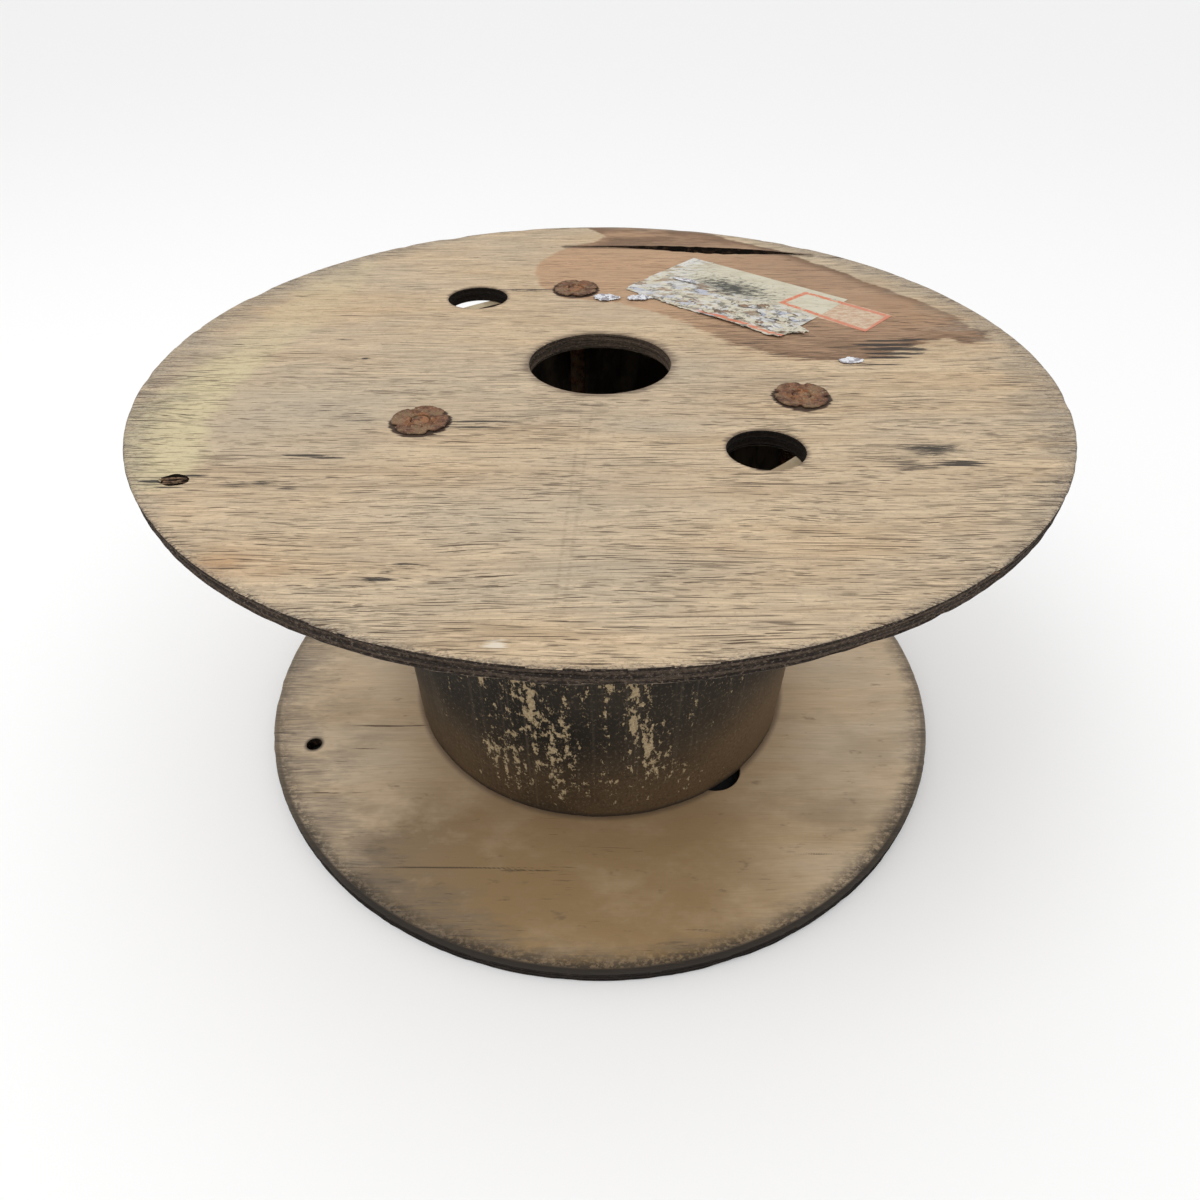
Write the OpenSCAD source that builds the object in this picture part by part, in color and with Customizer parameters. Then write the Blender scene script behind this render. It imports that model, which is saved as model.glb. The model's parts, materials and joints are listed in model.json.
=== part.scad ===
// Wooden cable drum: two round plywood flanges clamped onto a bent board barrel by three tie bolts,
// with a spindle bore through the middle and a pair of drive holes in each flange.
// Millimetres. The origin is the centre of the lower flange's underside, and +Z runs up the drum's axis.

/* [Flanges] */
// Diameter of each flange
flange_d = 500; // [400:5:650]
// Thickness of the plywood of each flange
flange_t = 9; // [7:0.5:18]
// Wear on the flange's corners, as a small bevel
arris = 0.8; // [0.3:0.1:1.5]
// Width of the drum over both flanges
drum_w = 255; // [150:5:450]

/* [Spindle bore] */
// Diameter of the bore that takes the spindle
bore_d = 80; // [40:1:110]

/* [Barrel] */
// Outside diameter of the barrel that the cable is wound on
barrel_d = 280; // [230:5:350]
// Thickness of the bent board of the barrel
barrel_wall = 8; // [4:0.5:12]

/* [Drive holes] */
// Diameter of each drive hole
drive_d = 38; // [20:1:50]
// Distance from the barrel's outside inwards to the centre of a drive hole
drive_inset = 13; // [8:0.5:24]
// Turn of the pair of drive holes from +X
drive_turn = -51; // [-65:1:-35]

/* [Tie bolts] */
// Diameter of the tie bolt's rod
bolt_d = 10; // [6:0.5:14]
// Distance from the barrel's inside inwards to the axis of a tie bolt
bolt_inset = 17; // [17:0.5:28]
// Turn of the first tie bolt from +X
bolt_turn = 98; // [88:1:108]
// Clearance around the rod in the lower flange
bolt_clearance = 0.5; // [0.2:0.1:1]
// Diameter of the bolt's flat head
head_d = 22; // [18:0.5:26]
// Thickness of the bolt's flat head
head_t = 3; // [2:0.25:4]
// Depth of the head below the lower flange's underside
head_sink = 0.5; // [0.25:0.25:1.5]
// How far the bolt's end stands above the upper flange
bolt_end = 1; // [0.5:0.25:1.5]

/* [Tee nuts] */
// Diameter of the tee nut's round plate
plate_d = 30; // [22:0.5:32]
// Thickness of the tee nut's plate
plate_t = 1.5; // [1:0.25:2.5]
// Wall of the tee nut's threaded sleeve
sleeve_wall = 1.3; // [1:0.1:2]
// Wood left below the tee nut's sleeve
sleeve_gap = 2; // [1:0.25:3]
// Width of the four notches that the prongs are bent out of
notch_w = 5; // [3:0.5:7]
// Depth of the notches from the plate's rim
notch_depth = 3; // [2:0.25:4]
// Length of a prong below the plate
prong_len = 5; // [3:0.5:6]
// Clearance of the rod in the sleeve, and of the tee nut in the wood
thread_clearance = 0.1; // [0.05:0.05:0.25]

/* [Cable hole and splintered pit] */
// Diameter of the cable end hole in the lower flange
cable_hole_d = 11; // [6:0.5:16]
// Distance from the flange's rim to the centre of the cable end hole
cable_hole_inset = 28; // [20:1:40]
// Turn of the cable end hole from +X
cable_hole_turn = 200; // [180:1:220]
// Diameter of the splintered pit in the upper flange
pit_d = 15; // [8:0.5:20]
// Depth of the splintered pit
pit_depth = 3; // [1:0.25:4]
// Distance from the flange's rim to the centre of the splintered pit
pit_inset = 18; // [14:1:40]
// Turn of the splintered pit from +X
pit_turn = 213; // [200:1:230]

/* [Label] */
// Length of the blank paper label
label_l = 126; // [60:1:130]
// Width of the blank paper label
label_w = 86; // [40:1:90]
// Thickness of the paper
label_t = 0.3; // [0.2:0.05:0.6]
// Turn of the label's long side from +X
label_turn = -41; // [-60:1:-20]
// Place of the label's middle along X
label_x = 87; // [80:1:95]
// Place of the label's middle along Y
label_y = 103; // [95:1:110]

/* [Hidden] */
$fn = 96;

bolt_count = 3;
drive_count = 2;
notch_count = 4;
over = 1;                                    // how far a cutting shape runs past the face that it cuts
rod_chamfer = 1.2;                           // bevel on the end of a tie bolt
prong_t = plate_t;                           // a prong is as thick as the plate it is bent from

flange_r = flange_d / 2;
upper_z = drum_w - flange_t;                 // inner face of the upper flange
barrel_in_r = barrel_d / 2 - barrel_wall;
bolt_r = barrel_in_r - bolt_inset;
drive_r = barrel_d / 2 - drive_inset;
head_top_z = head_sink + head_t;
rod_r = bolt_d / 2;
sleeve_r = rod_r + thread_clearance + sleeve_wall;
sleeve_len = flange_t - sleeve_gap;
prong_r = plate_d / 2 - notch_depth;         // outer side of the prongs, at the bottom of the notches

// copies of the children at equal turns about the drum's axis, r away from it
module around(count, r, turn) {
    for (i = [0 : count - 1]) rotate(turn + i * 360 / count) translate([r, 0, 0]) children();
}

// a plywood disc with its corners worn off and the spindle bore through it, underside at z = 0
module disc() {
    rotate_extrude() polygon([
        [bore_d / 2, 0], [flange_r - arris, 0], [flange_r, arris],
        [flange_r, flange_t - arris], [flange_r - arris, flange_t], [bore_d / 2, flange_t]]);
}

// the cut for one through hole of a flange
module through(d) {
    translate([0, 0, -over]) cylinder(d = d, h = flange_t + 2 * over);
}

// the four prongs of a tee nut, hanging from z = 0, grown by a clearance
module prongs(grow = 0) {
    for (i = [0 : notch_count - 1]) rotate(i * 360 / notch_count)
        translate([prong_r - prong_t - grow, -notch_w / 2 - grow, -prong_len - grow])
            cube([prong_t + 2 * grow, notch_w + 2 * grow, prong_len + 2 * grow]);
}

// a tee nut with the underside of its plate at z = 0 and its sleeve and prongs below
module tee_nut() {
    color("#5b4236") difference() {
        union() {
            difference() {
                cylinder(d = plate_d, h = plate_t);
                for (i = [0 : notch_count - 1]) rotate(i * 360 / notch_count)
                    translate([prong_r, -notch_w / 2, -over])
                        cube([notch_depth + over, notch_w, plate_t + 2 * over]);
            }
            translate([0, 0, -sleeve_len]) cylinder(r = sleeve_r, h = sleeve_len + plate_t / 2);
            intersection() {
                translate([0, 0, plate_t / 2]) prongs(0);
                translate([0, 0, -prong_len]) cylinder(d = plate_d, h = prong_len + plate_t);
            }
        }
        translate([0, 0, -sleeve_len - over])
            cylinder(r = rod_r + thread_clearance, h = sleeve_len + plate_t + 2 * over);
    }
}

// a flat headed bolt from the lower flange's recess to just above the upper flange
module tie_bolt() {
    color("#8d8a84") {
        translate([0, 0, head_sink]) cylinder(d = head_d, h = head_t);
        translate([0, 0, head_sink]) cylinder(r = rod_r, h = drum_w + bolt_end - rod_chamfer - head_sink);
        translate([0, 0, drum_w + bolt_end - rod_chamfer])
            cylinder(r1 = rod_r, r2 = rod_r - rod_chamfer, h = rod_chamfer);
    }
}

module upper_flange() {
    color("#b59f7c") translate([0, 0, upper_z]) difference() {
        disc();
        around(drive_count, drive_r, drive_turn) through(drive_d);
        around(bolt_count, bolt_r, bolt_turn) {
            through(2 * (sleeve_r + thread_clearance));
            translate([0, 0, flange_t]) prongs(thread_clearance);
        }
        around(1, flange_r - pit_inset, pit_turn)
            translate([0, 0, flange_t - pit_depth]) cylinder(d = pit_d, h = pit_depth + over);
    }
}

module lower_flange() {
    color("#ad9471") difference() {
        disc();
        around(drive_count, drive_r, drive_turn) through(drive_d);
        around(bolt_count, bolt_r, bolt_turn) {
            through(bolt_d + 2 * bolt_clearance);
            translate([0, 0, -over]) cylinder(d = head_d + 4 * bolt_clearance, h = head_top_z + over);
        }
        around(1, flange_r - cable_hole_inset, cable_hole_turn) through(cable_hole_d);
    }
}

module barrel() {
    color("#2b2724") translate([0, 0, flange_t]) difference() {
        cylinder(d = barrel_d, h = drum_w - 2 * flange_t);
        translate([0, 0, -over]) cylinder(r = barrel_in_r, h = drum_w - 2 * flange_t + 2 * over);
    }
}

// tie bolt number i, counted from the first turn
module placed_bolt(i) {
    around(1, bolt_r, bolt_turn + i * 360 / bolt_count) tie_bolt();
}

// tee nut number i, on top of the upper flange
module placed_nut(i) {
    translate([0, 0, drum_w]) around(1, bolt_r, bolt_turn + i * 360 / bolt_count) tee_nut();
}

module label() {
    color("#e9e1cf") translate([label_x, label_y, drum_w]) rotate(label_turn)
        translate([-label_l / 2, -label_w / 2, 0]) cube([label_l, label_w, label_t]);
}

upper_flange();
lower_flange();
barrel();
placed_bolt(0);  // tie_bolt_1
placed_bolt(1);  // tie_bolt_2
placed_bolt(2);  // tie_bolt_3
placed_nut(0);  // tee_nut_1
placed_nut(1);  // tee_nut_2
placed_nut(2);  // tee_nut_3
label();
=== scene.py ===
import json
import math

import bpy
import numpy as np
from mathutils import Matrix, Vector, noise


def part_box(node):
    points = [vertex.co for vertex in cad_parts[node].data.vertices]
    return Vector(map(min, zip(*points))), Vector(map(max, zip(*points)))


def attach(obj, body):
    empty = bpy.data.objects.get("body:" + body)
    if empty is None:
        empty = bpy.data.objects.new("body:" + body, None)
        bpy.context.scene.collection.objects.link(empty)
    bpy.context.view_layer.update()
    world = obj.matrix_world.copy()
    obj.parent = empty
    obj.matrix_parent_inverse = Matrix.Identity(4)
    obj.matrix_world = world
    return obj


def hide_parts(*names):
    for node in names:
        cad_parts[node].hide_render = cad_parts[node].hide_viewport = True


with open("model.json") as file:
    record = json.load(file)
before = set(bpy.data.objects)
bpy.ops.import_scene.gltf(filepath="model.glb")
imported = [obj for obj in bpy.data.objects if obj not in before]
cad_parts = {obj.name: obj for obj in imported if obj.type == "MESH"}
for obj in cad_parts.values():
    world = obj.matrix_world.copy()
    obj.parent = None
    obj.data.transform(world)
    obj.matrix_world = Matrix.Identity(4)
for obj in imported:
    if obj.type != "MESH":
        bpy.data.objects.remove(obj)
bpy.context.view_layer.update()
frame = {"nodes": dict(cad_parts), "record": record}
print("construction:", sorted(frame["nodes"]))

# %% [markdown]
# Everything hangs on a few measures. They are read from the construction, so that a changed drum still fits:
# the flange's radius and thickness, the barrel's radius and the places of the round mounts.
# %% Measures of the drum
MM = 0.001
upper_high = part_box("upper_flange")[1]
lower_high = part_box("lower_flange")[1]
barrel_low, barrel_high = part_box("barrel")
mounts = {m["name"]: m for m in frame["record"]["mounts"]}

FLANGE_R = upper_high.x
FLANGE_T = lower_high.z
TOP = upper_high.z
BORE_R = mounts["spindle_bore"]["dims"]["r_mm"] * MM
DRIVE_R = mounts["drive_hole_upper_1"]["dims"]["r_mm"] * MM
CABLE_R = mounts["cable_hole"]["dims"]["r_mm"] * MM
BARREL_R = barrel_high.x
BARREL_WALL = 8 * MM


def middle(node):
    """The middle of a node's box, seen from above."""
    low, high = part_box(node)
    return Vector(((low.x + high.x) / 2, (low.y + high.y) / 2, 0))


BOLTS = [middle(f"tie_bolt_{i}") for i in (1, 2, 3)]
DRIVES = [Vector(mounts[f"drive_hole_upper_{i}"]["pos_m"]) for i in (1, 2)]
CABLE_HOLE = Vector(mounts["cable_hole"]["pos_m"])
print("flange radius", round(FLANGE_R, 4), "top", round(TOP, 4), "bolts", [tuple(b.xy) for b in BOLTS])

# %% [markdown]
# The camera comes early, because every later choice is judged through it. It stands close to the drum and
# looks down on it with a wide lens, which is what makes the upper disc look so much larger than the lower.
# Its place is given in flange radii, and a small shift brings the drum to the middle of the view.
# %% Camera
CAMERA_BACK = 1.7714
CAMERA_UP = 1.7704
CAMERA_TILT = 46.51
SENSOR = 36.0
LENS = 23.3
SHIFT = 0.0833

camera_data = bpy.data.cameras.new("camera")
camera = bpy.data.objects.new("camera", camera_data)
bpy.context.scene.collection.objects.link(camera)
camera.location = (0, -CAMERA_BACK * FLANGE_R, CAMERA_UP * FLANGE_R)
camera.rotation_euler = (math.radians(90 - CAMERA_TILT), 0, 0)
camera_data.sensor_width = SENSOR
camera_data.lens = LENS
camera_data.shift_y = SHIFT
camera_data.clip_start = 0.01
bpy.context.scene.camera = camera
print("camera at", tuple(round(c, 3) for c in camera.location))

# %% [markdown]
# The drum stands on a plain pale floor under a soft sky, with one large lamp above the camera on the left and
# a weaker one on the right. Large lamps give the broad, even light of a workshop. A thin near-black ring lies
# wholly under the drum as painted shade, standing for the shadow on the ground, so that the holes through the
# lower disc look down on shade.
# %% Floor
FLOOR_SIZE = 12
FLOOR_GREY = 0.94
SHADE_RING_R = 0.235
SHADE_RING_HOLE = 0.38
SHADE_RING_HEIGHT = 0.0002
SHADE_RING_GREY = 0.01

bpy.ops.object.select_all(action="DESELECT")
bpy.ops.mesh.primitive_plane_add(size=FLOOR_SIZE, location=(0, 0, 0))
floor = bpy.context.active_object
floor.name = "floor"

floor_finish = bpy.data.materials.new("floor_paint")
floor_finish.use_nodes = True
floor_shader = floor_finish.node_tree.nodes["Principled BSDF"]
floor_shader.inputs["Base Color"].default_value = (FLOOR_GREY, FLOOR_GREY, FLOOR_GREY, 1)
floor_shader.inputs["Roughness"].default_value = 0.9
floor_shader.inputs["Specular IOR Level"].default_value = 0.1
floor.data.materials.append(floor_finish)

# Painted shade: a near-black ring on the floor under the drum, in place of the ground's shadow, seen only
# through the holes.
bpy.ops.object.select_all(action="DESELECT")
bpy.ops.mesh.primitive_circle_add(
    vertices=96, radius=SHADE_RING_R, fill_type="NOTHING", location=(0, 0, SHADE_RING_HEIGHT)
)
shade_ring = bpy.context.active_object
shade_ring.name = "painted_shade_ring"
bpy.ops.object.mode_set(mode="EDIT")
bpy.ops.mesh.select_all(action="SELECT")
bpy.ops.mesh.extrude_region_move()
bpy.ops.transform.resize(value=(SHADE_RING_HOLE, SHADE_RING_HOLE, 1), center_override=(0, 0, SHADE_RING_HEIGHT))
bpy.ops.object.mode_set(mode="OBJECT")
shade_ring_finish = bpy.data.materials.new("painted_shade")
shade_ring_finish.use_nodes = True
shade_ring_shader = shade_ring_finish.node_tree.nodes["Principled BSDF"]
shade_ring_shader.inputs["Base Color"].default_value = (SHADE_RING_GREY, SHADE_RING_GREY, SHADE_RING_GREY, 1)
shade_ring_shader.inputs["Roughness"].default_value = 0.95
shade_ring.data.materials.append(shade_ring_finish)
print("floor:", FLOOR_SIZE, "m wide, rubber ring out to", SHADE_RING_R, "m")

# %% Light
SKY_STRENGTH = 0.94

world = bpy.data.worlds.new("sky")
bpy.context.scene.world = world
world.use_nodes = True
sky = world.node_tree.nodes["Background"]
sky.inputs["Color"].default_value = (1.0, 1.0, 1.0, 1)
sky.inputs["Strength"].default_value = SKY_STRENGTH
bpy.context.scene.view_settings.view_transform = "Standard"


def lamp(name, place, size, power):
    """A square lamp at a place, turned towards the drum."""
    data = bpy.data.lights.new(name, "AREA")
    data.size = size
    data.energy = power
    lamp_object = bpy.data.objects.new(name, data)
    bpy.context.scene.collection.objects.link(lamp_object)
    lamp_object.location = place
    aim = Vector((0, 0, TOP / 2)) - Vector(place)
    lamp_object.rotation_euler = aim.to_track_quat("-Z", "Y").to_euler()


KEY_PLACE = (-0.9, -0.5, 1.9)
FILL_PLACE = (1.3, -0.4, 1.5)
lamp("key_lamp", KEY_PLACE, size=1.0, power=8)
lamp("fill_lamp", FILL_PLACE, size=1.4, power=2)

# %% [markdown]
# Almost everything on this drum is round: the discs, the tube, the bolts and the nuts. One helper turns them
# all. It adds a circle at its size and place, then extrudes and resizes it ring by ring along a profile, as a
# turner follows a template. A solid starts from a filled circle, a hollow ring from an open one.
# %% Turning round pieces
def select_only(piece):
    """Makes one piece the only selected and the active one."""
    bpy.ops.object.select_all(action="DESELECT")
    piece.select_set(True)
    bpy.context.view_layer.objects.active = piece


def turned(name, profile, segments, centre=(0, 0), solid=False, ring=False):
    """A round piece from (radius, height) pairs. A ring's profile comes back to where it started."""
    bpy.ops.object.select_all(action="DESELECT")
    radius, height = profile[0]
    bpy.ops.mesh.primitive_circle_add(
        vertices=segments,
        radius=radius,
        fill_type="NGON" if solid else "NOTHING",
        location=(centre[0], centre[1], height),
    )
    piece = bpy.context.active_object
    piece.name = name
    bpy.ops.object.transform_apply(location=True, rotation=True, scale=True)
    bpy.ops.object.mode_set(mode="EDIT")
    bpy.ops.mesh.select_mode(type="VERT")
    bpy.ops.mesh.select_all(action="SELECT")
    for next_radius, next_height in profile[1:]:
        lift = {"value": (0, 0, next_height - height)}
        bpy.ops.mesh.extrude_region_move(TRANSFORM_OT_translate=lift)
        growth = next_radius / radius
        pivot = (centre[0], centre[1], next_height)
        bpy.ops.transform.resize(value=(growth, growth, 1), center_override=pivot)
        radius, height = next_radius, next_height
    bpy.ops.mesh.select_all(action="SELECT")
    if ring:
        bpy.ops.mesh.remove_doubles(threshold=0.01 * MM)
    bpy.ops.mesh.normals_make_consistent(inside=False)
    bpy.ops.object.mode_set(mode="OBJECT")
    return piece


print("pieces can be turned")

# %% Joining and cutting
def joined(name, pieces):
    """Several pieces made one."""
    bpy.ops.object.select_all(action="DESELECT")
    for piece in pieces:
        piece.select_set(True)
    bpy.context.view_layer.objects.active = pieces[0]
    if len(pieces) > 1:
        bpy.ops.object.join()
    pieces[0].name = name
    return pieces[0]


def cut_away(piece, cutter):
    """Takes the cutter's volume out of a piece and throws the cutter away."""
    select_only(piece)
    cut = piece.modifiers.new("cut", "BOOLEAN")
    cut.operation = "DIFFERENCE"
    cut.solver = "EXACT"
    cut.object = cutter
    bpy.ops.object.modifier_apply(modifier="cut")
    bpy.data.objects.remove(cutter)


print("pieces can be joined and cut")

# %% Points as arrays
def places(piece):
    """A piece's points as an array, in metres."""
    flat = np.zeros(len(piece.data.vertices) * 3)
    piece.data.vertices.foreach_get("co", flat)
    return flat.reshape(-1, 3)


def set_places(piece, points):
    """Puts a piece's points where the array says."""
    piece.data.vertices.foreach_set("co", np.ascontiguousarray(points).ravel())
    piece.data.update()


def rough(points, size, seed=0.0):
    """Smooth noise from -1 to 1 at each point. Size is the width of its lumps in metres."""
    return np.array([noise.noise(Vector(p) / size + Vector((seed, seed, seed))) for p in points])


print("points can be read, moved and roughened")

# %% [markdown]
# The two discs are plywood, five plies thick and cut with a rough saw. Years of rolling on concrete have
# rounded their edges and eaten the soft plies back further than the hard ones. The profile below walks from
# the bore over the top face, down the plies of the rim, back along the underside and up the bore's wall. The
# rings on the top face are close together, because later steps move and colour those points.
# %% Profile of a plywood disc
SEGMENTS = 480
PLIES = 5
TOP_RINGS = 50
UNDER_RINGS = 14
PLY_RECESS = 0.45 * MM
GLUE_LINE = 0.08 * MM
OUTER_PLY_EASE = 1.0 * MM
TOP_ARRIS_IN = 0.25 * MM
TOP_ARRIS_DOWN = 0.5 * MM
LOW_ARRIS_IN = 0.3 * MM
LOW_ARRIS_UP = 0.4 * MM
BORE_EASE = 0.8 * MM
RIM_EASE = 1.3 * MM


def ply_wall(radius, top, bottom, inward):
    """The wall of a sawn plywood edge from top to bottom. Soft plies lie back by PLY_RECESS."""
    ply = (top - bottom) / PLIES
    wall = [(radius - inward * TOP_ARRIS_IN, top - TOP_ARRIS_DOWN)]
    for i in range(PLIES):
        set_back = 0 if i % 2 == 0 else PLY_RECESS
        upper = top - i * ply
        start = upper - (OUTER_PLY_EASE if i == 0 else GLUE_LINE)
        end = upper - ply + (OUTER_PLY_EASE if i == PLIES - 1 else GLUE_LINE)
        wall.append((radius - inward * set_back, start))
        wall.append((radius - inward * set_back, (start + end) / 2))
        wall.append((radius - inward * set_back, end))
    wall.append((radius - inward * LOW_ARRIS_IN, bottom + LOW_ARRIS_UP))
    return wall


def disc_profile(top, bottom):
    """The whole outline of a disc, from the bore's upper edge round and back to it."""
    first = BORE_R + BORE_EASE
    last = FLANGE_R - RIM_EASE
    face = [(first + (last - first) * i / TOP_RINGS, top) for i in range(TOP_RINGS + 1)]
    rim = ply_wall(FLANGE_R, top, bottom, 1)
    under = [(last + (first - last) * i / UNDER_RINGS, bottom) for i in range(UNDER_RINGS + 1)]
    bore = [(r, z) for r, z in reversed(ply_wall(BORE_R, top, bottom, -1))]
    return face + rim + under + bore + [face[0]]


print("rings in a disc:", len(disc_profile(TOP, TOP - FLANGE_T)))

# %% [markdown]
# The holes are cut with solids that are turned in the same way, with plies of their own, so that a hole's
# wall shows the same layers as the rim. A torn place is cut with a solid of any outline instead.
# %% Cutters
CUT_OVER = 2 * MM
HOLE_EASE = 1 * MM
HOLE_SEGMENTS = 96
DRILL_SEGMENTS = 48
CABLE_SEGMENTS = 32


def hole_cutter(centre, radius, top, bottom):
    """A solid for a sawn hole, standing out above and below the disc."""
    wall = [(r, z) for r, z in reversed(ply_wall(radius, top, bottom, -1))]
    outline = [(radius + HOLE_EASE, bottom - CUT_OVER), (radius + HOLE_EASE, bottom)]
    outline += wall
    outline += [(radius + BORE_EASE, top), (radius + BORE_EASE, top + CUT_OVER)]
    return turned("cutter", outline, HOLE_SEGMENTS, centre, solid=True)


def plain_cutter(centre, radius, top, bottom, segments=DRILL_SEGMENTS):
    """A smooth drill hole between two heights."""
    outline = [(radius, bottom), (radius, (top + bottom) / 2), (radius, top)]
    return turned("cutter", outline, segments, centre, solid=True)


def outline_solid(name, outline, bottom, top):
    """A flat solid with any outline: a circle's points are moved to the outline, and its face is extruded."""
    bpy.ops.object.select_all(action="DESELECT")
    bpy.ops.mesh.primitive_circle_add(vertices=len(outline), radius=1, fill_type="NGON")
    piece = bpy.context.active_object
    piece.name = name
    set_places(piece, np.array([(x, y, bottom) for x, y in outline]))
    bpy.ops.object.mode_set(mode="EDIT")
    bpy.ops.mesh.select_mode(type="FACE")
    bpy.ops.mesh.select_all(action="SELECT")
    bpy.ops.mesh.extrude_region_move(TRANSFORM_OT_translate={"value": (0, 0, top - bottom)})
    bpy.ops.mesh.select_all(action="SELECT")
    bpy.ops.mesh.normals_make_consistent(inside=False)
    bpy.ops.object.mode_set(mode="OBJECT")
    return piece


print("cutters ready")

# %% [markdown]
# The split at the back of the upper disc opened where the top veneer sprang loose. It follows the grain, is
# widest in the middle and closes to a hair at both ends. Its middle line is given at a few stations, and the
# same line later lifts the wood behind it and darkens what lies inside.
# %% The split in the upper disc
SPLIT_STATIONS = np.array([-26, 12, 40, 64, 89, 108, 128, 154]) * MM
SPLIT_LINE = np.array([201, 200.5, 197, 193, 190, 188, 186.5, 182]) * MM
SPLIT_WIDTH = np.array([0.4, 2.2, 5.5, 9.5, 11.0, 8.5, 3.6, 0.3]) * MM
SPLIT_DEPTH = 3.2 * MM
SPLIT_POINTS = 60
LIP_LIFT = 1.3 * MM


def split_outline():
    """The edges of the split, there along the back and home along the front, with a splintered wobble."""
    x = np.linspace(SPLIT_STATIONS[0], SPLIT_STATIONS[-1], SPLIT_POINTS)
    line = np.interp(x, SPLIT_STATIONS, SPLIT_LINE)
    width = np.interp(x, SPLIT_STATIONS, SPLIT_WIDTH)
    back_wobble = rough([(v, 0, 0) for v in x], 7 * MM, 3.1) * 0.45
    front_wobble = rough([(v, 0, 0) for v in x], 5 * MM, 8.7) * 0.35
    back = list(zip(x, line + width * (0.5 + back_wobble * 0.5)))
    front = list(zip(x, line - width * (0.5 + front_wobble * 0.5)))
    return back + front[::-1]


print("split opens to", round(max(SPLIT_WIDTH) / MM, 1), "mm")

# %% [markdown]
# Wear is done as with a sculpting brush, by moving points in code. The arris of the rim is bruised and
# chipped, the sawn plies are ragged, and the wood behind the split stands up as a lip. Nothing rises above
# the disc's own top except the lip, and nothing goes outside its radius.
# %% Wearing a disc
RIM_REACH = 4 * MM
ARRIS_REACH = 1.6 * MM
DENT_MM = 2.4
DENT_WIDE = 26 * MM
DENT_FROM = 0.2
CHIP_MM = 2.2
CHIP_WIDE = 11 * MM
CHIP_FROM = 0.34
SAWN_MM = 0.5
SAWN_WIDE = 9 * MM
SAG_MM = 0.25
SAG_WIDE = 60 * MM


def worn(piece, top, bottom, seed):
    """Bruises the rim, roughens the plies and lets the faces undulate a little."""
    points = places(piece)
    radius = np.hypot(points[:, 0], points[:, 1])
    height = points[:, 2]
    rim = np.clip((radius - FLANGE_R + RIM_REACH) / RIM_REACH, 0, 1)
    arris = np.clip(1 - np.minimum(top - height, height - bottom) / ARRIS_REACH, 0, 1)
    flat = points * [1, 1, 6]
    dents = np.clip(rough(flat, DENT_WIDE, seed) - DENT_FROM, 0, 1) * DENT_MM * MM
    chips = np.clip(rough(flat, CHIP_WIDE, seed + 5) - CHIP_FROM, 0, 1) * CHIP_MM * MM
    sawn = np.abs(rough(points * [1, 1, 2], SAWN_WIDE, seed + 9)) * SAWN_MM * MM
    pull = rim * (sawn + (dents + chips) * (0.25 + 0.75 * arris))
    scale = (radius - pull) / radius
    points[:, 0] *= scale
    points[:, 1] *= scale
    sag = np.abs(rough(points, SAG_WIDE, seed + 2)) * SAG_MM * MM
    sag += rim * arris * (dents + chips) * 0.5
    upper_side = height > (top + bottom) / 2
    points[:, 2] -= np.where(upper_side, sag, -sag * 0.3)
    set_places(piece, points)


LIP_REACH = 16 * MM
LIP_FULL = 7 * MM


def lifted_lip(piece):
    """Raises the sprung veneer along the back of the split."""
    points = places(piece)
    line = np.interp(points[:, 0], SPLIT_STATIONS, SPLIT_LINE)
    width = np.interp(points[:, 0], SPLIT_STATIONS, SPLIT_WIDTH, left=0, right=0)
    behind = points[:, 1] - line
    reach = np.clip(1 - np.abs(behind - 1 * MM) / LIP_REACH, 0, 1)
    rise = reach**2 * (3 - 2 * reach) * np.clip(width / LIP_FULL, 0, 1) * LIP_LIFT
    rise[(behind < -0.5 * MM) | (points[:, 2] < TOP - 2 * MM)] = 0
    points[:, 2] = np.minimum(points[:, 2] + rise, TOP + LIP_LIFT)
    set_places(piece, points)


print("wear ready")

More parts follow.
